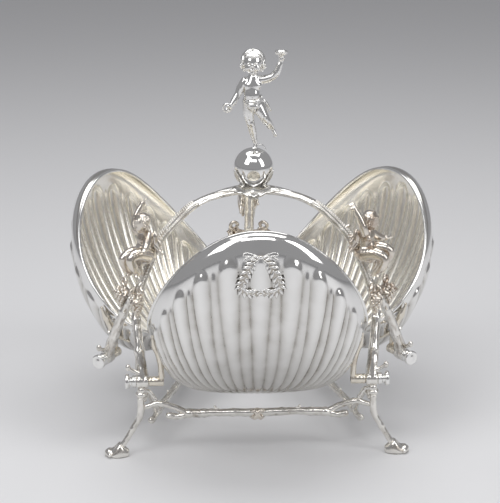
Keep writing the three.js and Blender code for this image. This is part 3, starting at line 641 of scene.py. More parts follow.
def bowl_points(angle, share):
    """The bowl's skin by the angle round its rim and the share of the way from the rim to the pole."""
    angle, share = np.broadcast_arrays(np.asarray(angle, float), np.asarray(share, float))
    up = signed_power(np.sin(angle))
    high, low = (1 + up) / 2, (1 - up) / 2
    rim = rim_points(angle)
    inset = rim[..., 0] * (TOP_INSET * high + LOW_INSET * low)
    back = rim + np.stack([-inset, BOWL_TUCK * low - BOWL_DEPTH, SHOULDER_RISE * high], -1)
    floor = POLE_INSET - FLOOR_REACH - FLOOR_SWING * up
    under = np.stack([FLOOR_WIDTH * rim[..., 0], floor, -POLE_DROP - FLOOR_DIP * high], -1)
    pole = np.array([0, POLE_INSET, -POLE_DROP])
    t = share[..., None]
    return (1 - t) ** 3 * rim + 3 * (1 - t) ** 2 * t * back + 3 * (1 - t) * t**2 * under + t**3 * pole


def bowl_normals(angle, share):
    nudge = 0.002
    along = bowl_points(angle + nudge, share) - bowl_points(angle - nudge, share)
    down = bowl_points(angle, share + nudge) - bowl_points(angle, share - nudge)
    return unit(np.cross(along, down))


def even_rim_angles(places):
    """Rim angles at shares of the rim's length, starting at its top."""
    fine = math.pi / 2 + np.linspace(0, 2 * math.pi, 4001)
    steps = np.linalg.norm(np.diff(rim_points(fine), axis=0), axis=1)
    lengths = np.concatenate([[0], np.cumsum(steps)])
    return np.interp(np.asarray(places) * lengths[-1], lengths, fine)


def flute_shares(place, share):
    """Height of the wide lobes and the narrow ribs between them, and a crescent of painted shade at each
    lobe's top.
    """
    down = soft_step((share - CHANGE_START) / CHANGE_REACH)
    lobe_half, rib_half, rib_share = (a + (b - a) * down for a, b in (LOBE_HALVES, RIB_HALVES, RIB_SHARES))
    lobe_place, rib_place = (place / lobe_half) ** 2, ((0.5 - np.abs(place)) / rib_half) ** 2
    lobe = np.clip(1 - lobe_place, 0, 1) ** ROUND_POWER
    rib = rib_share * np.clip(1 - rib_place, 0, 1) ** ROUND_POWER
    lobe_rise = soft_step((share - LOBE_START - 0.04 * lobe_place) / RISE_REACH)
    rib_rise = soft_step((share - RIB_START - 0.03 * rib_place) / RISE_REACH)
    fade = np.clip(1 - share, 0, 1) ** FADE_POWER
    brow_shade = 4 * lobe_rise * (1 - lobe_rise) * lobe**0.5
    return np.maximum(lobe * lobe_rise, rib * rib_rise) * fade, brow_shade


def shell_mesh():
    """The fluted wall and the bead round its rim, with the wall's inside marked for its warmer silver."""
    places = (np.arange(FLUTE_COUNT)[:, None] + FLUTE_PLACES[None, :]).ravel() / FLUTE_COUNT
    angles = even_rim_angles(np.mod(places, 1.0))
    share = np.concatenate(
        [
            [0.0, 0.015, 0.03, BAND_SHARE, BAND_SHARE + BAND_STEP / 2, BAND_SHARE + BAND_STEP, 0.048],
            np.linspace(0.07, 0.19, 6), np.linspace(0.205, 0.33, 15), np.linspace(0.36, 0.97, 24),
        ]
    )[:, None]
    height, brow_shade = flute_shares(np.tile(FLUTE_PLACES, FLUTE_COUNT)[None, :], share)
    band = BAND_PROUD * (1 - soft_step((share - BAND_SHARE) / BAND_STEP))
    normals = bowl_normals(angles[None, :], np.clip(share, 0.004, 0.97))
    inset = SKIN_INSET * soft_step((share - 0.05) / 0.1)
    base = bowl_points(angles[None, :], share) - normals * inset[..., None]
    outer = base + normals * (height * FLUTE_HEIGHT + band)[..., None]
    inner = base + normals * (height * FLUTE_HEIGHT * 0.92 - WALL - band)[..., None]
    # Painted shade: the flute valleys and low flanks, a crescent at each lobe's top and a line at the band's
    # step are darkened. The band under the rim is darkened too, as a painted reflection.
    groove_shade = soft_step((share - 0.24) / 0.06) * np.clip(1 - height * 1.2, 0, 1)
    step = np.exp(-(((share - BAND_SHARE - 0.004) / 0.006) ** 2))
    outer_shade = np.clip(groove_shade + 0.4 * brow_shade + step + 2 * band, 0, 1)
    inner_shade = np.clip(0.7 * groove_shade + 0.9 * brow_shade + step, 0, 1)
    pole = bowl_points(0.0, 1.0)
    rings, shade = np.concatenate([outer[::-1], inner]), np.concatenate([outer_shade[::-1], inner_shade])
    body = lofted(rings, pole, pole + np.array([0, 0, WALL]), shade)
    out = bowl_normals(angles[::3], np.full(len(angles[::3]), 0.004))
    out[:, 1] = 0
    bead = closed_tube(rim_points(angles[::3]) + unit(out) * 0.1 - np.array([0, 0.3, 0]), RIM_BEAD)
    points, faces, recess = merged([body, bead])
    inner_flag = np.zeros(len(points))
    inner_flag[outer[..., 0].size : 2 * outer[..., 0].size] = 1
    return new_mesh("fluted_shell", points, faces, recess=recess, inner=inner_flag)


def make_shells():
    mesh = shell_mesh()
    for name, spin, opening in SECTORS:
        place_piece(
            f"fluted_shell_{name}", mesh.copy(), hinge_frame(spin, opening), f"{name}_shell",
            "shell_silver", f"shell_{name}",
        )


# Wreath on each shell

WREATH_CENTRE = 0.3
WREATH_HEIGHT = 0.066
WREATH_HALF_WIDTH = 19.5
WREATH_SEAT = 1.25
WREATH_NARROW = 0.77
WREATH_PATH = (
    (0.0, -0.98), (0.2, -0.86), (0.42, -0.55), (0.66, -0.12), (0.88, 0.3), (0.97, 0.62), (0.8, 0.88),
    (0.45, 1.0), (0.0, 1.02),
)
LAUREL_LENGTH = 7.0
LAUREL_TIP_LENGTH = 5.4
BOW_LOOP = ((0.02, -1.02), (0.3, -1.26), (0.56, -1.4), (0.66, -1.24), (0.42, -1.12), (0.04, -1.0))
BOW_TAIL = ((0.04, -1.0), (0.24, -0.94), (0.42, -1.0), (0.62, -0.9))


def wreath_place(across, down, lift):
    """Points over the crests, and the surface normals there."""
    span = RIM_HALF_WIDTH * (1 - RIM_EGG)
    angle = math.pi / 2 + np.arcsin(across * WREATH_HALF_WIDTH / span)
    share = WREATH_CENTRE + down * WREATH_HEIGHT
    normal = bowl_normals(angle, share)
    rise = FLUTE_HEIGHT * soft_step((share - LOBE_START) / RISE_REACH) * (1 - share) ** FADE_POWER
    return bowl_points(angle, share) + normal * (rise + lift - WREATH_SEAT)[..., None], normal


def wreath_parts():
    """Two laurel branches on flat backings, with berries, and the bow that ties them. The backings are dark:
    painted shade between the leaves.
    """
    parts = []
    for side in (1, -1):
        path = smooth_path(np.array([[WREATH_NARROW * x * side, y, 0] for x, y in WREATH_PATH]), 27)
        points, normals = wreath_place(path[:, 0], path[:, 1], 0.3)
        # A dark flat tube under the leaves: painted shade in the gaps between them.
        shade_backing = tube(points, [2.2, 3.4, 2.8], 10, 40, across=smooth_path(normals, 41), wide=0.25)
        parts.append((*shade_backing[:2], np.ones(len(shade_backing[0]))))
        tangents = unit(np.gradient(points, axis=0))
        for index in range(1, 26, 2):
            out = np.cross(tangents[index], normals[index])
            for hand in (1, -1):
                along = tangents[index] * 0.8 + out * hand * 0.8
                start, up = points[index] + normals[index] * 0.4, normals[index] + out * 0.3 * hand
                length = LAUREL_LENGTH if 3 < index < 23 else LAUREL_TIP_LENGTH
                parts.append(laurel_leaf(start, along, up, length))
            if index % 4 == 1:
                parts.append(ball(points[index] + normals[index] * 0.5, 0.8, 6, 8))
    return parts + bow_parts()


def bow_parts():
    """A tied ribbon over the wreath: two loops, two tails and a knot."""
    parts = []
    for side in (1, -1):
        x, y = np.array(BOW_LOOP).T
        points, normals = wreath_place(x * side, y, 0.6)
        across = smooth_path(normals, 31)
        parts.append(tube(smooth_path(points, 30), [0.75, 0.75], 8, 30, across=across, wide=1.5, flat=0.5))
        x, y = np.array(BOW_TAIL).T
        points, normals = wreath_place(x * side, y, 0.5)
        across = smooth_path(normals, 17)
        parts.append(tube(points, [0.7, 0.8, 0.5], 8, 16, across=across, wide=0.6, flat=1.5))
    centre, _ = wreath_place(np.array(0.0), np.array(-1.0), 0.5)
    return [*parts, ball(centre, (1.9, 1.3, 1.6), 8, 12)]


def make_wreaths():
    parts = wreath_parts()
    for name, spin, opening in SECTORS:
        make_piece(
            f"laurel_wreath_{name}", parts, hinge_frame(spin, opening), f"{name}_shell",
            "bright_silver", f"wreath_{name}",
        )


# Hinge straps and pivot bolts

STRAP_GAP = 0.3
STRAP_HALF = 1.5
STRAP_PLACES = ((0.0, 4.8), (7.5, 20.0), (10.0, 32.0), (11.0, 40.0))  # inset and height
BARREL_RINGS = ((0, 0), (0, 3.7), (0.6, 4.3), (2.2, 4.3), (2.7, 3.9), (3.2, 4.25))
EYE_RINGS = ((0, 0), (0, 4.9), (0.5, 5.6), (3.2, 5.8), (3.8, 5.4))


def side_wall(inset, height):
    """How far out the shell's skin lies beside the pivot, at an inset and a height."""
    angles, shares = np.arange(-math.pi / 2, math.pi / 4, 0.02), np.arange(0, 0.8, 0.02)
    points = bowl_points(angles[:, None], shares[None, :])
    nearest = np.argmin(np.hypot(points[..., 1] - inset, points[..., 2] - height))
    return points.reshape(-1, 3)[nearest][0]


def ringed(low, high, rings, sides):
    """A turned barrel, the same from both ends. rings are pairs of (way in from an end, radius)."""
    near = [(low + inset, radius) for inset, radius in rings]
    return turned(near + [(high - inset, radius) for inset, radius in rings[::-1]], sides)


def strap_parts(side):
    """A hinge strap on one flank: a blade up the shell, a brace, a ringed barrel and a rounded tip."""
    walls = [BARREL_INNER] + [side_wall(y, z) for y, z in STRAP_PLACES[1:]]
    most = BOSS_INNER - STRAP_GAP - STRAP_HALF
    path = [
        (side * min(max(wall + STRAP_GAP, BARREL_INNER) + STRAP_HALF, most), y, z)
        for wall, (y, z) in zip(walls, STRAP_PLACES)
    ]
    waves = lambda share, angle: 1 + 0.16 * np.sin(math.pi * share) + 0.05 * np.cos(6 * math.pi * share)
    blade = tube(path, [3.4, 3.5, 3.2, 1.3], 16, 22, across=(0, 1, 0), flat=0.72, shape=waves)
    brace_path = [path[2], (side * (side_wall(6, 14) + 1.0), 6, 14), (side * (side_wall(9, 3) + 0.8), 9, 3)]
    low, high = sorted((side * BARREL_INNER, side * (BOSS_INNER - STRAP_GAP)))
    tip = ball(np.array(path[-1]) + np.array([0, 0.3, 1.2]), (1.3, 1.7, 1.9), 8, 12)
    return [blade, tube(brace_path, [1.5, 2.0, 1.2], 10, 14), ringed(low, high, BARREL_RINGS, 40), tip]


def bolt_profile():
    """A pin with a collar outside the boss, a neck and a button head with a dished end."""
    collar, neck = BOSS_INNER + BOSS_WIDTH + 0.3, BOSS_INNER + BOSS_WIDTH + 4.0
    head = neck + 2.5
    return [
        (BARREL_INNER, 0), (BARREL_INNER, 2.2), (BARREL_INNER + 0.4, 2.5), (collar, 2.5), (collar, 4.7),
        (collar + 0.5, 5.3), (collar + 1.5, 5.3), (collar + 1.9, 4.8), (collar + 2.3, 5.2), (neck - 0.4, 5.2),
        (neck, 4.7), (neck + 0.3, 4.0), (neck + 1.2, 3.7), (head - 0.2, 4.2), (head, 5.6), (head + 0.4, 6.35),
        (head + 1.2, 6.5), (head + 2.6, 6.5), (head + 3.3, 6.1), (head + 3.55, 5.2), (head + 3.2, 4.5),
        (head + 3.3, 3.4), (head + 3.7, 2.2), (head + 3.9, 1.0), (head + 4.0, 0),
    ]


def make_hinges():
    straps = {hand: strap_parts(side) for hand, side in HANDS}
    bolt = [turned(bolt_profile(), 48)]
    for name, spin, opening in SECTORS:
        for hand, side in HANDS:
            make_piece(
                f"leaf_strap_{name}_{hand}", straps[hand], hinge_frame(spin, opening), f"{name}_shell",
                "worn_silver", f"hinge_strap_{name}_{hand}",
            )
            pivot = hinge_frame(spin, 0) @ turned_z(0 if side > 0 else math.pi)
            make_piece(
                f"turned_bolt_{name}_{hand}", bolt, pivot, "stand", "bright_silver",
                f"pivot_bolt_{name}_{hand}",
            )


# Uprights, in a corner's frame with X outwards and Y along the circle

FORK_OUT = 113.5
FORK_UP = 143.0
CROWN_UP = 212.0
LIMB_SHARES = (
    (0.07, 1), (0.22, 1.01), (0.32, 1), (0.41, 0.98), (0.49, 0.945), (0.575, 0.885), (0.66, 0.79),
    (0.745, 0.68), (0.82, 0.565), (0.885, 0.385), (0.945, 0.2), (1, 0), (1.02, -0.09),
)
BRANCH_SHARES = (
    (0, 0, 0), (0.235, 0.06, 0.095), (0.47, 0.165, 0.2), (0.6, 0.28, 0.31), (0.76, 0.535, 0.525),
    (0.89, 0.785, 0.765), (1, 1, 0.99),
)
LIMB_STEPS = 400
LIMB_BEADS = range(150, 376, 6)  # of those steps
BEAD_SIZE = 1.2
BEAD_ASIDE = 3.5
BEAD_OUT = 2.7
BEAD_DROP = 0.8


def limb_points():
    return np.array([(FORK_OUT * out, 0, FORK_UP + (CROWN_UP - FORK_UP) * up) for out, up in LIMB_SHARES])


def branch_points(side):
    out, aside, down = np.array(BRANCH_SHARES).T
    x = FORK_OUT + (BOSS_OUT - FORK_OUT) * out
    return grid_points(x, side * BOSS_ASIDE * aside, FORK_UP - (FORK_UP - PIVOT_UP) * down)


def limb_parts(seed):
    """An arched limb with rough bark, two cut twigs and rows of seed beads."""
    rough = bark(seed, 4, 0.05, ((0.36, 0.08, 0.012), (0.62, 0.1, 0.012), (0.8, 0.12, 0.014)))
    body = tube(limb_points(), [5.5, 5.0, 5.0, 4.6, 4.2], 20, 110, across=(0, 1, 0), flat=0.6, shape=rough)
    stubs = []
    for place, side in ((62, 1), (80, -1)):
        at = smooth_path(limb_points(), 101)[place]
        tip = at + np.array([2.6, side * 5.4, 2.8])
        stubs.append(tube([at, (at + tip) / 2 + np.array([0, 0, 0.5]), tip], [1.9, 1.4, 1.5], 8, 8))
    return [body, *stubs, *limb_beads()]


def limb_beads():
    """Rows of seed beads on the limb above the fork, along both edges and the outer face."""
    fine = smooth_path(limb_points(), LIMB_STEPS + 1)
    over = path_frames(fine, (0, 1, 0))[2]
    parts = []
    for index in LIMB_BEADS:
        outward = over[index] if over[index][0] > 0 else -over[index]
        for aside in (-1, 0, 1):
            centre = fine[index if aside else index + 3] + np.array([0, BEAD_ASIDE * aside, 0])
            parts.append(ball(centre + outward * (BEAD_OUT - BEAD_DROP * abs(aside)), BEAD_SIZE, 6, 8))
    return parts


def branch_parts(side, seed):
    rough = bark(seed, 5, 0.13, ((0.3, 0.16, 0.02), (0.55, 0.2, 0.022), (0.78, 0.16, 0.02)))
    path = branch_points(side)
    parts = [tube(path, [3.9, 3.6, 3.6, 4.1, 5.3], 16, 80, shape=rough)]
    for place, out in ((30, 1), (55, -1), (78, 1)):
        at, aside = smooth_path(path, 101)[place], np.array([0.5, out * side, 0.35])
        parts.append(tube([at, at + aside * 3.6, at + aside * 5.6], [1.8, 1.3, 1.45], 8, 6))
    return parts


def boss_parts():
    """The eye of a post round its pivot, with a bud on a short stalk, along the pivot's axis."""
    wide, low = BOSS_WIDTH / 2, 8.3
    bend, tip = np.array([wide + 2, 0, low + 0.9]), np.array([wide + 6.6, 0, low + 3.85])
    stalk = tube([(0, 0, low - 2), bend, tip], [2.3, 1.6, 1.5], 10, 10, shape=bark(7, 4, 0.08))
    bud = ball(tip + unit(tip - bend) * 0.9, (2.3, 2.3, 2.9), 10, 14)
    return [ringed(-wide, wide, EYE_RINGS, 36), stalk, bud]


def make_uprights():
    boss = boss_parts()
    for number, (name, spin, branches, _) in enumerate(CORNERS):
        make_piece(
            f"bark_limb_{name}", limb_parts(10 + number), turned_z(spin), "stand", "bark_silver",
            f"arch_limb_{name}",
        )
        for side, target in zip((1, -1), branches):
            to_boss = shifted(BOSS_OUT, side * BOSS_ASIDE, PIVOT_UP) @ turned_z(-side * TWELFTH)
            parts = branch_parts(side, 20 + 3 * number + side) + [moved(item, to_boss) for item in boss]
            make_piece(
                f"bark_post_{target}", parts, turned_z(spin), "stand", "bark_silver", f"branch_{target}"
            )


# Legs and stretchers

LEG_SHARES = ((0.05, 0.88), (0.08, 0.8), (0.11, 0.56), (0.36, 0.38), (0.66, 0.2), (0.86, 0.1))
SPLAY_REACH = 24.0
COLLAR_UP = PIVOT_UP - 9.2
FOOT_LENGTH = 20.8
FOOT_HALF_WIDTH = 7.6


def leg_parts(seed):
    """A leg with two collars, a spur on its inner side and a slipper foot."""
    path = [(SPLAY_REACH * out, 0, PIVOT_UP * up) for out, up in LEG_SHARES]
    rough = bark(seed, 4, 0.06, ((0.35, 0.14, 0.02), (0.62, 0.12, 0.02)))
    spur = [(0, 0, COLLAR_UP), (-5.0, 0, COLLAR_UP), (-10.0, 0, COLLAR_UP - 7.0)]
    return [
        tube(path, [3.8, 2.9, 2.9, 2.6, 2.5, 3.0], 14, 60, shape=rough),
        ball((1.7, 0, COLLAR_UP - 2.5), (5.0, 4.9, 3.2), 12, 18),
        ball((1.7, 0, COLLAR_UP - 6.4), (3.6, 3.6, 1.5), 8, 16),
        tube(spur, [2.3, 1.7, 1.6], 10, 14, shape=bark(seed + 1, 4, 0.08)),
        ball((-10.3, 0, COLLAR_UP - 7.6), (1.9, 1.9, 2.1), 8, 12),
        *foot_parts(),
    ]


def foot_parts():
    """A slipper foot: a leaf that rises to the ankle and ends in a rolled toe on a flat sole."""
    u, angle = np.linspace(0, 1, 26)[:, None], around(28)[None, :]
    half = FOOT_HALF_WIDTH * np.clip(np.sin(math.pi * (0.1 + 0.86 * u)) ** 0.7, 0.05, 1)
    top = 4.0 + 7.4 * np.exp(-(((u - 0.36) / 0.26) ** 2)) + 2.2 * np.exp(-(((u - 0.86) / 0.12) ** 2))
    ridge = 0.6 * np.cos(6 * angle) * np.sin(math.pi * u)
    x = SPLAY_REACH - 10.8 + FOOT_LENGTH * u
    y = half * np.sign(np.cos(angle)) * np.abs(np.cos(angle)) ** 0.8
    z = np.where(np.sin(angle) > 0, (top + ridge) * np.abs(np.sin(angle)) ** 0.7, 0.0)
    # Painted shade in the grooves between the ridges, most along the middle of the foot.
    shade = np.clip(0.8 * (np.cos(6 * angle) < -0.4) * np.sin(math.pi * u), 0, 1)
    heel, end = (SPLAY_REACH - 11.2, 0, 0.8), (SPLAY_REACH + 10.3, 0, 1.0)
    roll = [(SPLAY_REACH + 7.8 - 2.2 * abs(side), 6.4 * side, 3.2 - 0.6 * abs(side)) for side in (-1, 0, 1)]
    sole = lofted(grid_points(x, y, np.maximum(z, 0.0)), heel, end, shade)
    return [sole, tube(roll, [1.9, 2.6, 1.9], 10, 14)]


def make_legs():
    for number, (_, spin, _, legs) in enumerate(CORNERS):
        for side, splay, name in legs:
            make_piece(
                f"twig_leg_{name}", leg_parts(40 + 5 * number + side), leg_frame(spin, side, splay), "stand",
                "bark_silver", f"leg_{name}",
            )


# Side, the legs it joins, height of the bar, and height of its tines
STRETCHERS = (
    ("front", "front_left", "front_right", 38.5, 48.0),
    ("rear", "rear_left", "rear_right", 38.5, 48.0),
    ("left", "front_left", "rear_left", 25.0, 53.5),
    ("right", "front_right", "rear_right", 25.0, 53.5),
)


def twig_parts(start, end, height, tine_up, seed):
    """One half of a stretcher: a bar from the middle knot, an upper tine to the leg and a cut lower stub."""
    along = unit(end - start)
    aside = np.cross(np.array([0, 0, 1.0]), along)
    length = float(np.linalg.norm(end - start))
    at = lambda distance, rise, out=0.0: np.append((start + along * distance + aside * out)[:2], rise)
    reach, gap = min(38.0, 0.6 * length), min(4.0, length / 6)
    fork = length - reach
    middle = (gap + fork) / 2
    tine = [
        at(fork, height), at(length - reach * 0.66, (height + tine_up) / 2 + 1.7),
        at(length - reach * 0.35, tine_up), at(length - reach * 0.18, tine_up - 1.7),
        at(length - 2.3, tine_up - 3.1),
    ]
    parts = [
        tube([at(gap, height), at(middle, height + 0.5, 0.4), at(fork, height)], [3.6, 3.2, 3.9], 12, 40,
             shape=bark(seed, 5, 0.09, ((0.3, 0.16, 0.03), (0.75, 0.14, 0.03)))),
        tube(tine, [2.7, 2.5, 2.6, 2.3, 2.2], 12, 40, shape=bark(seed + 1, 4, 0.09, ((0.45, 0.16, 0.03),))),
        ball(at(fork - 1.5, height), (4.5, 4.5, 4.2), 12, 16),
    ]
    if length > 48:
        stub = [at(fork - 2.9, height), at(fork + 8, height - 2.9), at(fork + 16, height - 2.0)]
        parts.append(tube(stub, [3.0, 2.6, 3.2], 12, 18, shape=bark(seed + 2, 4, 0.08)))
        steps = ((0, 0), (3, 2.2), (4.6, 4.0))
        twig = [at(middle, height + 1.5) + along * out + (0, 0, up) for out, up in steps]
        parts.append(tube(twig, [1.6, 1.2, 1.3], 8, 8))
    return parts


def knot_parts(centre, along):
    """A knob with two loops of twig tied over it, one to each side."""
    aside = np.append(-along[1], along[0])
    parts = [ball(centre, (4.2, 4.2, 4.0), 14, 20)]
    for hand in (-1, 1):
        steps = ((6.5, 0.5, -0.5), (2.5, -4.2, 3.4), (-2.0, -4.0, -3.2), (-5.5, 1.0, -3.6))
        loop = [centre + np.append(along * out * hand + aside * over, up) for out, over, up in steps]
        parts.append(tube(loop, [1.9, 2.0, 1.7], 10, 24, shape=bark(3, 4, 0.08)))
    return parts


def make_stretchers():
    places = {
        leg: np.array(turned_z(spin) @ Vector((BOSS_OUT, side * BOSS_ASIDE, 0)))
        for _, spin, _, legs in CORNERS for side, _, leg in legs
    }
    for number, (name, one, other, height, tine_up) in enumerate(STRETCHERS):
        middle = (places[one] + places[other]) / 2
        for index, leg in enumerate((one, other)):
            parts = twig_parts(middle, places[leg], height, tine_up, 60 + 7 * number + 3 * index)
            node = f"stretcher_{name}_to_{leg}"
            make_piece(f"twig_{name}_to_{leg}", parts, HOME, "stand", "bark_silver", node)
        knot = knot_parts(np.append(middle[:2], height), unit(places[other] - places[one])[:2])
        make_piece(f"tied_knot_{name}", knot, HOME, "stand", "tarnished_silver", f"stretcher_knot_{name}")


# Grapevines at the forks

VINE_MIDDLE = np.array([123.07, 0.0, 135.92])
CLUSTER_SPREAD = 14.3
CLUSTER_OUT = 3.5
CURL_RADIUS = 3.7
CURL_SHARES = ((0, 0), (0.5, 0.1), (1, 0.6), (1.26, 1.7), (1.03, 2.7), (0.76, 2.2), (0.84, 1.4))
GRAPE_SIZE = 2.15
GRAPE_LEVELS = ((3.6, 5), (4.6, 6), (4.5, 6), (4.0, 6), (3.3, 5), (2.4, 4), (1.4, 2), (0.2, 1))


def bunch_parts(top, seed):
    """Grapes packed round a hanging stalk, fewer and smaller towards the tip. The stalk is a dark egg:
    painted shade in the gaps between the grapes.
    """
    generator = np.random.default_rng(seed)
    parts = []
    for level, (reach, count) in enumerate(GRAPE_LEVELS):
        share = level / (len(GRAPE_LEVELS) - 1)
        for step in range(count):
            angle = 2 * math.pi * (step + 0.5 * (level % 2)) / count + generator.uniform(-0.12, 0.12)
            size = GRAPE_SIZE - 0.4 * share + generator.uniform(-0.12, 0.12)
            centre = top + np.array([reach * math.cos(angle), reach * math.sin(angle), -2.4 - 16.6 * share])
            parts.append(ball(centre, size, 8, 10))
    # The dark egg in the middle is painted shade between the grapes.
    return [*parts, ball(top + np.array([0, 0, -8.5]), (3.9, 3.9, 7.5), 8, 10, shade=1.0)]


def vine_leaf(origin, along, up, size):
    """A five-lobed vine leaf with veins, cupped a little."""
    r = np.linspace(0.0, 1.0, 7)[:, None]
    a = np.linspace(-2.75, 2.75, 45)[None, :]
    outline = 0.5 + 0.34 * np.abs(np.cos(a * 1.25)) ** 0.7 + 0.06 * np.cos(14 * a) + 0.12 * np.cos(a)
    reach = size * r * outline
    fan = np.mod(a * 1.25 + math.pi / 2, math.pi) - math.pi / 2
    vein = 0.05 * size * np.exp(-(fan**2) / 0.02) * (1 - 0.6 * r)
    height = -0.3 * size * (r * outline) ** 2 + vein * r + 0.04 * size * np.sin(5 * a) * r**2
    x, y = reach * np.cos(a) + 0.42 * size, reach * np.sin(a)
    # Painted shade: darker between the veins and towards the edge.
    shade = np.clip(0.75 - 16 * np.abs(vein) / size, 0, 1) * np.clip(1.2 * r - 0.1, 0.2, 1) * 0.6
    return sheet_part(leaf_points(origin, along, up, x, y, height), 0.7, shade)


def vine_parts(seed):
    """Two stems that leave the fork sideways and curl up, each with a bunch of grapes and leaves."""
    parts = []
    curl_bark = bark(seed + 5, 3, 0.1)
    for side in (-1, 1):
        path = [
            VINE_MIDDLE + (0, side * CLUSTER_SPREAD * aside, CURL_RADIUS * up) for aside, up in CURL_SHARES
        ]
        parts.append(tube(path, [2.0, 1.9, 1.7, 1.6, 1.4], 12, 70, across=(1, 0, 0), shape=curl_bark))
        top = VINE_MIDDLE + (CLUSTER_OUT, side * CLUSTER_SPREAD, CURL_RADIUS)
        parts += bunch_parts(top, seed + side)
        for step, along, up, size in (
            ((-1.5, 0, -1.0), (0.75, side * 0.55, -0.3), (0.2, side * 0.1, 1.0), 7.0),
            ((-2.0, -side * 2.5, -2.0), (0.7, -side * 0.75, -0.5), (0.4, 0, 1.0), 6.5),
        ):
            parts.append(vine_leaf(top + step, along, up, size))
    stem = [VINE_MIDDLE + step for step in ((-1.2, 0, 5.0), (1.0, 0, 2.0), (0.4, 0, -3.0))]
    parts.append(tube(stem, [1.4, 2.3, 1.6], 12, 14, shape=bark(seed + 9, 4, 0.12)))
    for step in range(3):
        parts.append(ball(VINE_MIDDLE + (1.6, 2.2 * (step - 1), -1.0 - 0.8 * (step % 2)), 1.6, 8, 10))
    return parts


def make_vines():
    for number, (name, spin, _, _) in enumerate(CORNERS):
        parts = vine_parts(80 + 11 * number)
        make_piece(f"vine_{name}", parts, turned_z(spin), "stand", "tarnished_silver", f"grapevine_{name}")


# Figures

BALL_UP = 232.3
BALL_SIZE = 17.4
DANCER_SIZE = 88.0
CLIMBER_SIZE = 58.0
CLIMBER_SEAT = (FORK_OUT * 0.895, 0, FORK_UP + (CROWN_UP - FORK_UP) * 0.22)


def putto_head(clay, centre, right, ahead, size):
    """A generic child's head in clay: round skull, soft cheeks, small features and rows of curls.

    centre is the middle of the skull, and size its radius. ahead is where it looks.
    """
    ahead = unit(ahead)
    right = unit(right - ahead * np.dot(right, ahead))
    up = np.cross(right, ahead)
    up = -up if up[2] < 0 else up
    turn = np.stack([right, ahead, up], 1)
    at = lambda x, y, z: centre + size * (right * x + ahead * y + up * z)

    def egg(place, radii, soft, carve=False):
        clay.egg(at(*place), np.array(radii) * size, soft, turn, carve)

    egg((0, 0, 0), (0.9, 0.96, 1.0), 1.0)
    egg((0, 0.28, -0.42), (0.66, 0.62, 0.6), 1.6)
    for side in (-1, 1):
        egg((0.36 * side, 0.6, -0.36), 0.32, 0.9)
        egg((0.34 * side, 0.93, 0.02), (0.2, 0.13, 0.13), 0.25, carve=True)
        egg((0.34 * side, 0.79, 0.01), (0.15, 0.12, 0.1), 0.12)
        egg((0.92 * side, 0.0, -0.16), (0.12, 0.2, 0.26), 0.3)
    clay.cone(at(0, 0.86, 0.06), at(0, 1.06, -0.2), 0.09 * size, 0.13 * size, 0.45)
    egg((0, 0.9, -0.5), (0.2, 0.09, 0.045), 0.2)
    egg((0, 0.87, -0.6), (0.16, 0.1, 0.06), 0.2)
    egg((0, 0.74, -0.8), 0.19, 0.5)
    hair(clay, at, size)


def hair(clay, at, size):
    """Combed hair: a cap over the crown and the back, with waved locks that end in curls beside the face."""
    clay.egg(at(0, -0.12, 0.12), size, 0.3)
    for step in range(15):
        turn = math.radians(-200 + 400 * step / 14 / 1.75 + 86)
        low = 1.0 if abs(turn) < 2.2 else 1.25
        points = []
        for number in range(6):
            tilt, swing = low * (0.15 + 0.31 * number), turn + 0.1 * math.sin(2.6 * number + step)
            out, up = 1.02 * math.sin(tilt), 0.12 + 1.02 * math.cos(tilt)
            points.append(at(out * math.sin(swing), -0.12 - out * math.cos(swing), up))
        clay.limb(points, [0.1 * size, 0.13 * size, 0.12 * size], 0.25, 2)
    curls = (
        (0.93, 0.22, -0.12, 0.25), (0.97, 0.02, -0.38, 0.25), (0.78, -0.12, -0.66, 0.24),
        (0.4, -0.5, -0.78, 0.25),
    )
    for side in (-1, 1):
        for x, y, z, big in curls:
            clay.egg(at(side * x, y, z), big * size, 0.35)
            clay.egg(at(side * (x + 0.17), y + 0.1, z + 0.02), 0.1 * size, 0.15, carve=True)
    for step in range(-2, 3):
        clay.egg(at(0.24 * step, 0.72 - 0.05 * step**2, 0.66), 0.15 * size, 0.25)


def hand(clay, wrist, tip, radius, curl):
    """A small hand: a palm with four fingers and a thumb that bend by curl."""
    along, curl = unit(tip - wrist), np.array(curl)
    side = unit(np.cross(along, curl))
    clay.egg(wrist + along * radius * 1.2, 1.25 * radius, 0.8)
    for finger in range(4):
        root = wrist + along * radius * 1.9 + side * radius * (finger - 1.5) * 0.62
        knuckle = root + along * radius + curl * radius * 0.3
        end = knuckle + along * radius * 0.5 + curl * radius * 0.8
        clay.cone(root, knuckle, radius * 0.36, radius * 0.34, 0.3)
        clay.cone(knuckle, end, radius * 0.34, radius * 0.28, 0.2)
    thumb = wrist + along * radius * 1.2 + side * radius * 1.1
    thumb_tip = thumb + (along * 0.8 + side * 0.5 + curl * 0.4) * radius
    clay.cone(thumb, thumb_tip, radius * 0.38, radius * 0.3, 0.4)


def foot(clay, heel, toe, up, radius):
    """A small foot with five toes."""
    along = unit(toe - heel)
    side = unit(np.cross(along, up))
    clay.cone(heel, toe, radius, radius * 0.85, 0.9)
    for number in range(5):
        tip = toe + side * radius * (number - 2) * 0.42 + along * radius * (0.95 - 0.1 * abs(number - 1))
        clay.cone(toe + side * radius * (number - 2) * 0.3, tip, radius * 0.34, radius * 0.3, 0.3)


def folds(clay, points, width, depth, count, lean):
    """Drapery: thick cords side by side that read as cloth folds along a path."""
    for number in range(count):
        shift = np.array(lean) * width * (number / (count - 1) - 0.5)
        wave = np.array([0.25 * math.sin(2.2 * number + k) for k in range(len(points))])[:, None]
        radii = [depth * 0.8, depth * (1.0 + 0.15 * (number % 2)), depth * 0.7]
        clay.limb(np.array(points) + shift + wave * depth, radii, 0.7, 3)


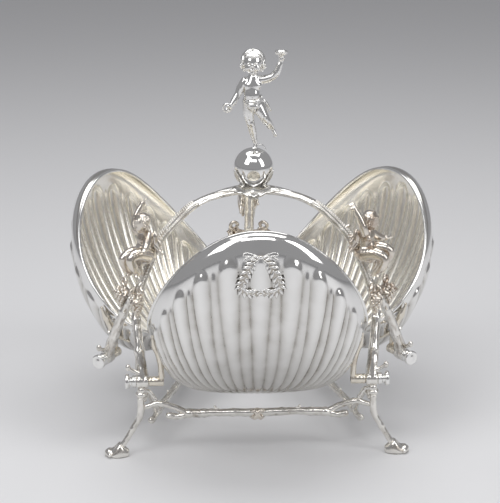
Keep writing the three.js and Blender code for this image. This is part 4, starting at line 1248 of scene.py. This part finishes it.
def figure_tools(clay, at):
    """Functions that press an egg, a limb or cloth at places given as shares of a figure's height."""
    egg = lambda place, radii, soft: clay.egg(at(*place), radii, soft)
    limb = lambda path, radii, soft: clay.limb([at(*place) for place in path], radii, soft)
    cloth = lambda path, *sizes: folds(clay, [at(*place) for place in path], *sizes)
    return egg, limb, cloth


def dancer():
    """The figure on the ball: it stands on one leg with an arm lowered and an arm raised."""
    clay = Clay((-31, -13, -2), (35, 17, 91), 0.42)
    at = lambda x, y, z: np.array([x, y, z]) * DANCER_SIZE
    egg, limb, cloth = figure_tools(clay, at)
    # Torso
    limb(((-0.015, 0, 0.47), (-0.02, -0.005, 0.55), (-0.01, 0, 0.64), (0, 0, 0.7)), [7.2, 6.7, 7.0, 5.4], 2.0)
    egg((-0.015, -0.035, 0.54), (6.3, 4.9, 6.3), 2.0)
    egg((-0.05, -0.03, 0.635), (3.8, 3.3, 3.3), 1.8)
    egg((0.035, -0.03, 0.64), (3.8, 3.3, 3.3), 1.8)
    clay.egg(at(-0.016, -0.098, 0.53), 0.7, 0.3, carve=True)
    egg((-0.04, 0.045, 0.455), (4.4, 4.2, 4.3), 1.8)
    egg((0.03, 0.045, 0.45), (4.4, 4.2, 4.3), 1.8)
    limb(((0, 0, 0.69), (0, -0.005, 0.77)), [3.8, 3.4], 1.6)
    # Standing leg and foot
    path = (
        (-0.04, 0, 0.46), (-0.047, -0.006, 0.36), (-0.03, -0.012, 0.26), (-0.006, 0.006, 0.16),
        (0.018, 0.004, 0.06),
    )
    limb(path, [6.2, 5.2, 3.6, 3.3, 2.1], 1.8)
    egg((-0.028, -0.035, 0.255), (2.3, 2.0, 2.3), 1.2)
    egg((-0.004, 0.028, 0.18), (2.6, 2.5, 4.4), 1.6)
    foot(clay, at(0.022, 0.01, 0.022), at(0.012, -0.07, 0.018), (0, 0, 1), 2.0)
    # Raised leg and foot
    path = (
        (0.03, 0, 0.45), (0.075, -0.025, 0.37), (0.125, -0.03, 0.285), (0.16, 0.03, 0.225),
        (0.19, 0.085, 0.18),
    )
    limb(path, [6.1, 5.1, 3.7, 3.3, 2.1], 1.8)
    egg((0.13, -0.045, 0.285), (2.4, 2.1, 2.4), 1.2)
    foot(clay, at(0.196, 0.1, 0.172), at(0.22, 0.085, 0.115), (0.4, 0.8, 0.3), 1.9)
    # Lowered arm, hand and ring
    path = (
        (-0.085, 0, 0.675), (-0.125, 0, 0.61), (-0.155, -0.005, 0.545), (-0.193, -0.03, 0.485),
        (-0.218, -0.045, 0.45),
    )
    limb(path, [3.8, 3.7, 3.0, 2.9, 2.0], 1.6)
    hand(clay, at(-0.218, -0.045, 0.455), at(-0.25, -0.055, 0.42), 1.9, (0.3, -0.6, -0.4))
    clay.ring(at(-0.262, -0.055, 0.42), (0.15, 1.0, 0.2), 3.6, 0.9)
    # Raised arm, hand and flower cup
    path = (
        (0.07, 0, 0.69), (0.125, 0, 0.695), (0.185, -0.01, 0.72), (0.232, -0.02, 0.77), (0.258, -0.02, 0.835),
        (0.27, -0.02, 0.87),
    )
    limb(path, [3.9, 3.7, 3.3, 3.0, 2.6, 2.0], 1.6)
    hand(clay, at(0.27, -0.02, 0.87), at(0.275, -0.025, 0.92), 2.0, (-0.5, -0.6, 0.1))
    clay.cone(at(0.275, -0.028, 0.9), at(0.272, -0.03, 0.935), 1.5, 2.4, 0.5)
    egg((0.272, -0.03, 0.962), (5.6, 4.8, 2.6), 0.6)
    clay.ring(at(0.272, -0.03, 0.975), (0.0, 0.0, 1.0), 4.9, 0.7)
    clay.egg(at(0.272, -0.03, 0.992), (4.4, 3.8, 2.6), 0.3, carve=True)
    putto_head(clay, at(-0.005, 0, 0.862), (1, 0, 0), (-0.1, -1, -0.04), 9.6)
    # Sash round the hips, with an end that flies out
    left, right = (-0.09, -0.01, 0.475), (0.08, -0.03, 0.49)
    cloth((left, (-0.04, -0.085, 0.45), (0.03, -0.085, 0.455), right), 5.5, 1.3, 4, (0, 0, 1))
    cloth((right, (0.06, 0.07, 0.48), (-0.03, 0.085, 0.465), left), 5.5, 1.3, 4, (0, 0, 1))
    path = (0.08, -0.02, 0.49), (0.11, -0.01, 0.45), (0.13, 0.0, 0.4), (0.145, 0.02, 0.365)
    cloth(path, 5.0, 1.1, 3, (1, 0.6, 0))
    cloth(((0.0, -0.09, 0.45), (-0.01, -0.095, 0.42), (-0.005, -0.085, 0.38)), 3.6, 1.0, 3, (1, 0, 0))
    return clay.skin()


def make_dancer():
    """The dancer, with a thin scroll of ribbon that lies behind the standing foot."""
    path = [(2.0, 1.5, 1.2), (4.5, 2.0, 2.6), (7.5, 2.0, 2.4), (9.8, 1.6, 0.3), (11.2, 1.0, -2.0)]
    ribbon = tube(path, [0.9, 0.7, 0.6], 10, 24, across=(0, 1, 0), wide=1.8, flat=0.5)
    stand = shifted(0, 0, BALL_UP + BALL_SIZE)
    make_piece("dancing_putto", [dancer(), ribbon], stand, "stand", "bright_silver", "finial_putto")


def climber(reach):
    """The figure on a limb, in the corner's frame: it clings outside the limb and looks outwards.

    reach is a share by which its arms and legs reach aside.
    """
    clay = Clay((-9, -18, -13), (34, 25, 60), 0.4)
    at = lambda x, y, z: np.array([x, y * (reach if abs(y) > 0.05 else 1.0), z]) * CLIMBER_SIZE
    egg, limb, cloth = figure_tools(clay, at)
    # Torso and neck
    path = (0.14, 0, 0.17), (0.13, 0, 0.29), (0.14, 0, 0.42), (0.15, 0.005, 0.51)
    limb(path, [7.4, 6.6, 7.0, 5.2], 1.8)
    egg((0.2, 0.0, 0.3), (5.2, 5.6, 6.0), 1.8)
    for side in (-1, 1):
        egg((0.2, 0.055 * side, 0.44), (3.0, 3.3, 2.8), 1.4)
        egg((0.07, 0.06 * side, 0.19), (4.6, 4.6, 4.8), 1.6)
    limb(((0.155, 0.005, 0.53), (0.185, 0.01, 0.61)), [3.1, 2.9], 1.4)
    # Legs, astride and bent at the knee
    left = (0.14, 0.08, 0.2), (0.31, 0.125, 0.26), (0.46, 0.155, 0.22), (0.44, 0.165, 0.1), (0.37, 0.17, 0.0)
    right = (
        (0.14, -0.06, 0.19), (0.32, -0.07, 0.22), (0.47, -0.07, 0.16), (0.44, -0.08, 0.04),
        (0.36, -0.09, -0.06),
    )
    for path, knee, calf in (
        (left, (0.475, 0.155, 0.225), (0.42, 0.165, 0.11)),
        (right, (0.485, -0.07, 0.165), (0.42, -0.08, 0.05)),
    ):
        limb(path, [6.4, 5.5, 4.2, 3.7, 2.4], 1.8)
        egg(knee, (2.5, 2.6, 2.5), 1.2)
        egg(calf, (2.9, 2.7, 4.0), 1.4)
    foot(clay, at(0.345, 0.172, -0.03), at(0.4, 0.18, -0.055), (0, 0, 1), 1.8)
    foot(clay, at(0.335, -0.092, -0.09), at(0.39, -0.1, -0.115), (0, 0, 1), 1.8)
    # An arm raised to the limb, and an arm held out
    path = (
        (0.14, -0.09, 0.51), (0.19, -0.165, 0.54), (0.195, -0.215, 0.63), (0.135, -0.23, 0.77),
        (0.07, -0.23, 0.875),
    )
    limb(path, [4.2, 3.8, 3.3, 3.0, 2.2], 1.5)
    hand(clay, at(0.07, -0.23, 0.875), at(0.04, -0.23, 0.92), 2.0, (-0.7, 0.3, 0.1))
    path = (
        (0.14, 0.09, 0.5), (0.195, 0.17, 0.44), (0.245, 0.23, 0.39), (0.28, 0.27, 0.37),
        (0.3, 0.295, 0.365),
    )
    limb(path, [4.2, 3.8, 3.2, 2.8, 2.1], 1.5)
    hand(clay, at(0.3, 0.295, 0.365), at(0.33, 0.32, 0.36), 1.9, (0.3, 0.2, 0.6))
    putto_head(clay, at(0.205, 0.015, 0.69), (0, 1, 0), (1, 0.12, -0.32), 7.1)
    # Cloth over the thighs and behind, and small wings
    path = (0.03, -0.1, 0.2), (0.16, -0.13, 0.15), (0.28, -0.02, 0.12), (0.2, 0.13, 0.15), (0.03, 0.11, 0.2)
    cloth(path, 5.0, 1.9, 3, (0.2, 0, 1))
    cloth(((0.27, 0.04, 0.14), (0.29, 0.05, 0.04), (0.26, 0.05, -0.06)), 6.0, 1.9, 3, (0, 1, 0))
    for side in (-1, 1):
        egg((0.03, 0.1 * side, 0.45), (3.0, 3.2, 6.6), 1.6)
        egg((-0.01, 0.13 * side, 0.35), (2.4, 2.8, 5.4), 1.6)
        for feather in range(4):
            root = at(0.05, (0.08 + 0.012 * feather) * side, 0.5 - 0.05 * feather)
            tip = at(-0.04, (0.16 + 0.012 * feather) * side, 0.44 - 0.075 * feather)
            clay.cone(root, tip, 1.5, 1.2, 0.4)
    return clay.skin()


def make_climbers():
    wide, close = climber(1.0), climber(0.72)
    for name, spin, _, _ in CORNERS:
        points, faces, recess = close if name == "rear" else wide
        seated = [(points + np.array(CLIMBER_SEAT), faces, recess)]
        node = f"climbing_putto_{name}"
        make_piece(f"climber_{name}", seated, turned_z(spin), "stand", "tarnished_silver", node)


# Crown, ball and calyx

CROWN_LEAF_LENGTH = 40.0
CROWN_LEAF_BACK = 7.0


def crown_leaf():
    """A long leaf that lies over the root of a limb and narrows along it."""
    u, v = leaf_grid(30, 15)
    path = smooth_path(limb_points(), 121)
    arc = np.concatenate([[0], np.cumsum(np.linalg.norm(np.diff(path, axis=0), axis=1))])
    reach = u * CROWN_LEAF_LENGTH
    x, z = np.interp(reach, arc, path[:, 0]) - CROWN_LEAF_BACK, np.interp(reach, arc, path[:, 2])
    half = 10.0 * np.exp(-((u / 0.66) ** 2)) * (1 + 0.16 * np.abs(np.sin(5 * math.pi * u))) + 0.8 * (1 - u)
    lift = 5.0 - 8.4 * (np.abs(v) * half / 10.0) ** 1.7 - 1.2 * u
    vein = 0.35 * np.cos(4 * math.pi * v) * (1 - u)
    # Painted shade in the grooves between the veins and along the edges.
    shade = np.clip(0.8 * (np.cos(4 * math.pi * v) < -0.3) * (1 - 0.5 * u) + 0.8 * (np.abs(v) > 0.9), 0, 1)
    return sheet_part(grid_points(x, v * half, z + lift + vein), 0.9, shade)


def calyx_leaf():
    """A pointed leaf that hugs the ball and turns out at its tip."""
    u, v = leaf_grid(22, 11)
    tilt = -1.02 + 1.0 * u
    half = 6.0 * np.sin(math.pi * (0.2 + 0.79 * u)) ** 0.9 * (1 + 0.06 * np.cos(8 * math.pi * u))
    swing = v * half / BALL_SIZE
    ridge = 0.5 * np.exp(-((v / 0.2) ** 2)) + 0.22 * np.cos(3 * math.pi * v)
    out = BALL_SIZE + 0.75 + 1.1 * soft_step((u - 0.75) / 0.25) ** 1.5 + ridge
    x, y = out * np.cos(tilt) * np.cos(swing), out * np.cos(tilt) * np.sin(swing)
    # Painted shade in the grooves of the leaf.
    shade = np.clip(0.8 * (np.cos(3 * math.pi * v) < -0.4) * np.ones_like(u), 0, 1)
    return sheet_part(grid_points(x, y, BALL_UP + out * np.sin(tilt)), 1.0, shade)


def make_crown():
    hub = turned([(208.8, 0), (208.8, 6.2), (209.6, 7.0), (211.2, 7.0), (211.9, 6.4), (CROWN_UP, 0)], 48, "Z")
    cup = turned(
        [(212.3, 0), (212.3, 5.9), (213.4, 6.2), (214.9, 5.8), (216.0, 6.4), (217.5, 9.6), (219.2, 11.2),
         (220.4, 11.5), (220.5, 10.6), (219.0, 8.6), (218.0, 0)], 60, "Z"
    )
    for name, core, leaf, node in (
        ("leafy_crown", hub, crown_leaf(), "crown_hub"), ("leafy_calyx", cup, calyx_leaf(), "ball_calyx")
    ):
        leaves = [moved(leaf, turned_z(spin)) for _, spin, _, _ in CORNERS]
        make_piece(name, [core, *leaves], HOME, "stand", "bright_silver", node)
    sphere = [ball((0, 0, BALL_UP), BALL_SIZE, 64, 96)]
    make_piece("polished_ball", sphere, HOME, "stand", "shell_silver", "finial_ball")


# Stage, light and camera

CAMERA_ELEVATION = math.radians(17.28)
CAMERA_SWING = math.radians(-2.0)
CAMERA_DISTANCE = 1.35975
CAMERA_LENS = 108.1
TARGET_ASIDE = -0.0030
TARGET_UP = 0.15391
FLOOR_COLOUR = (0.74, 0.74, 0.75, 1)
WORLD_LEVEL = 0.3
LIGHT_TARGET = (0, 0, 0.15)


def make_floor():
    """A wide pale disc that lies just under the feet."""
    sides, reach = 96, 12.0
    rim = [(reach * math.cos(angle), reach * math.sin(angle), 0) for angle in around(sides)]
    mesh = bpy.data.meshes.new("studio_floor")
    mesh.from_pydata([(0, 0, 0), *rim], [], [(0, k + 1, (k + 1) % sides + 1) for k in range(sides)])
    material = bpy.data.materials.new("studio_floor")
    material.use_nodes = True
    shader = material.node_tree.nodes["Principled BSDF"]
    shader.inputs["Base Color"].default_value = FLOOR_COLOUR
    shader.inputs["Roughness"].default_value = 0.55
    mesh.materials.append(material)
    add_object("studio_floor", mesh)


def make_world():
    world = bpy.data.worlds.new("studio")
    bpy.context.scene.world = world
    world.use_nodes = True
    colour = (WORLD_LEVEL, WORLD_LEVEL, WORLD_LEVEL * 1.03, 1)
    world.node_tree.nodes["Background"].inputs["Color"].default_value = colour


def soft_light(name, place, size, power):
    data = bpy.data.lights.new(name, "AREA")
    data.shape = "RECTANGLE"
    data.size, data.size_y = size
    data.energy = power
    lamp = add_object(name, data)
    lamp.location = place
    lamp.rotation_euler = (Vector(LIGHT_TARGET) - Vector(place)).to_track_quat("-Z", "Y").to_euler()


def make_lights():
    soft_light("key_panel", (-1.1, -1.0, 1.7), (0.9, 1.6), 13)
    soft_light("front_panel", (0.0, -1.25, 1.75), (1.1, 0.45), 5)
    soft_light("fill_panel", (1.4, -0.9, 1.2), (0.6, 1.4), 9)
    soft_light("top_panel", (0.0, 0.3, 1.7), (1.6, 1.0), 12)


def make_camera():
    """A camera at the photograph's viewing angle, as fitted to its pivots, rims and feet."""
    flat = math.cos(CAMERA_ELEVATION)
    across, ahead = math.cos(CAMERA_SWING), math.sin(CAMERA_SWING)
    back = Vector((ahead * flat, -across * flat, math.sin(CAMERA_ELEVATION)))
    data = bpy.data.cameras.new("photo_view")
    data.sensor_width = 36
    data.lens = CAMERA_LENS
    camera = add_object("photo_view", data)
    target = Vector((TARGET_ASIDE * across, TARGET_ASIDE * ahead, TARGET_UP))
    camera.location = target + back * CAMERA_DISTANCE
    camera.rotation_euler = (-back).to_track_quat("-Z", "Y").to_euler()
    bpy.context.scene.camera = camera


make_camera()
make_shells()
make_wreaths()
make_hinges()
make_uprights()
make_legs()
make_stretchers()
make_vines()
make_dancer()
make_climbers()
make_crown()

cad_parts["finial_rod_and_nut"].data.materials.clear()
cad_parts["finial_rod_and_nut"].data.materials.append(SILVERS["worn_silver"])

make_floor()
make_world()
make_lights()
bpy.context.scene.view_settings.view_transform = "Standard"
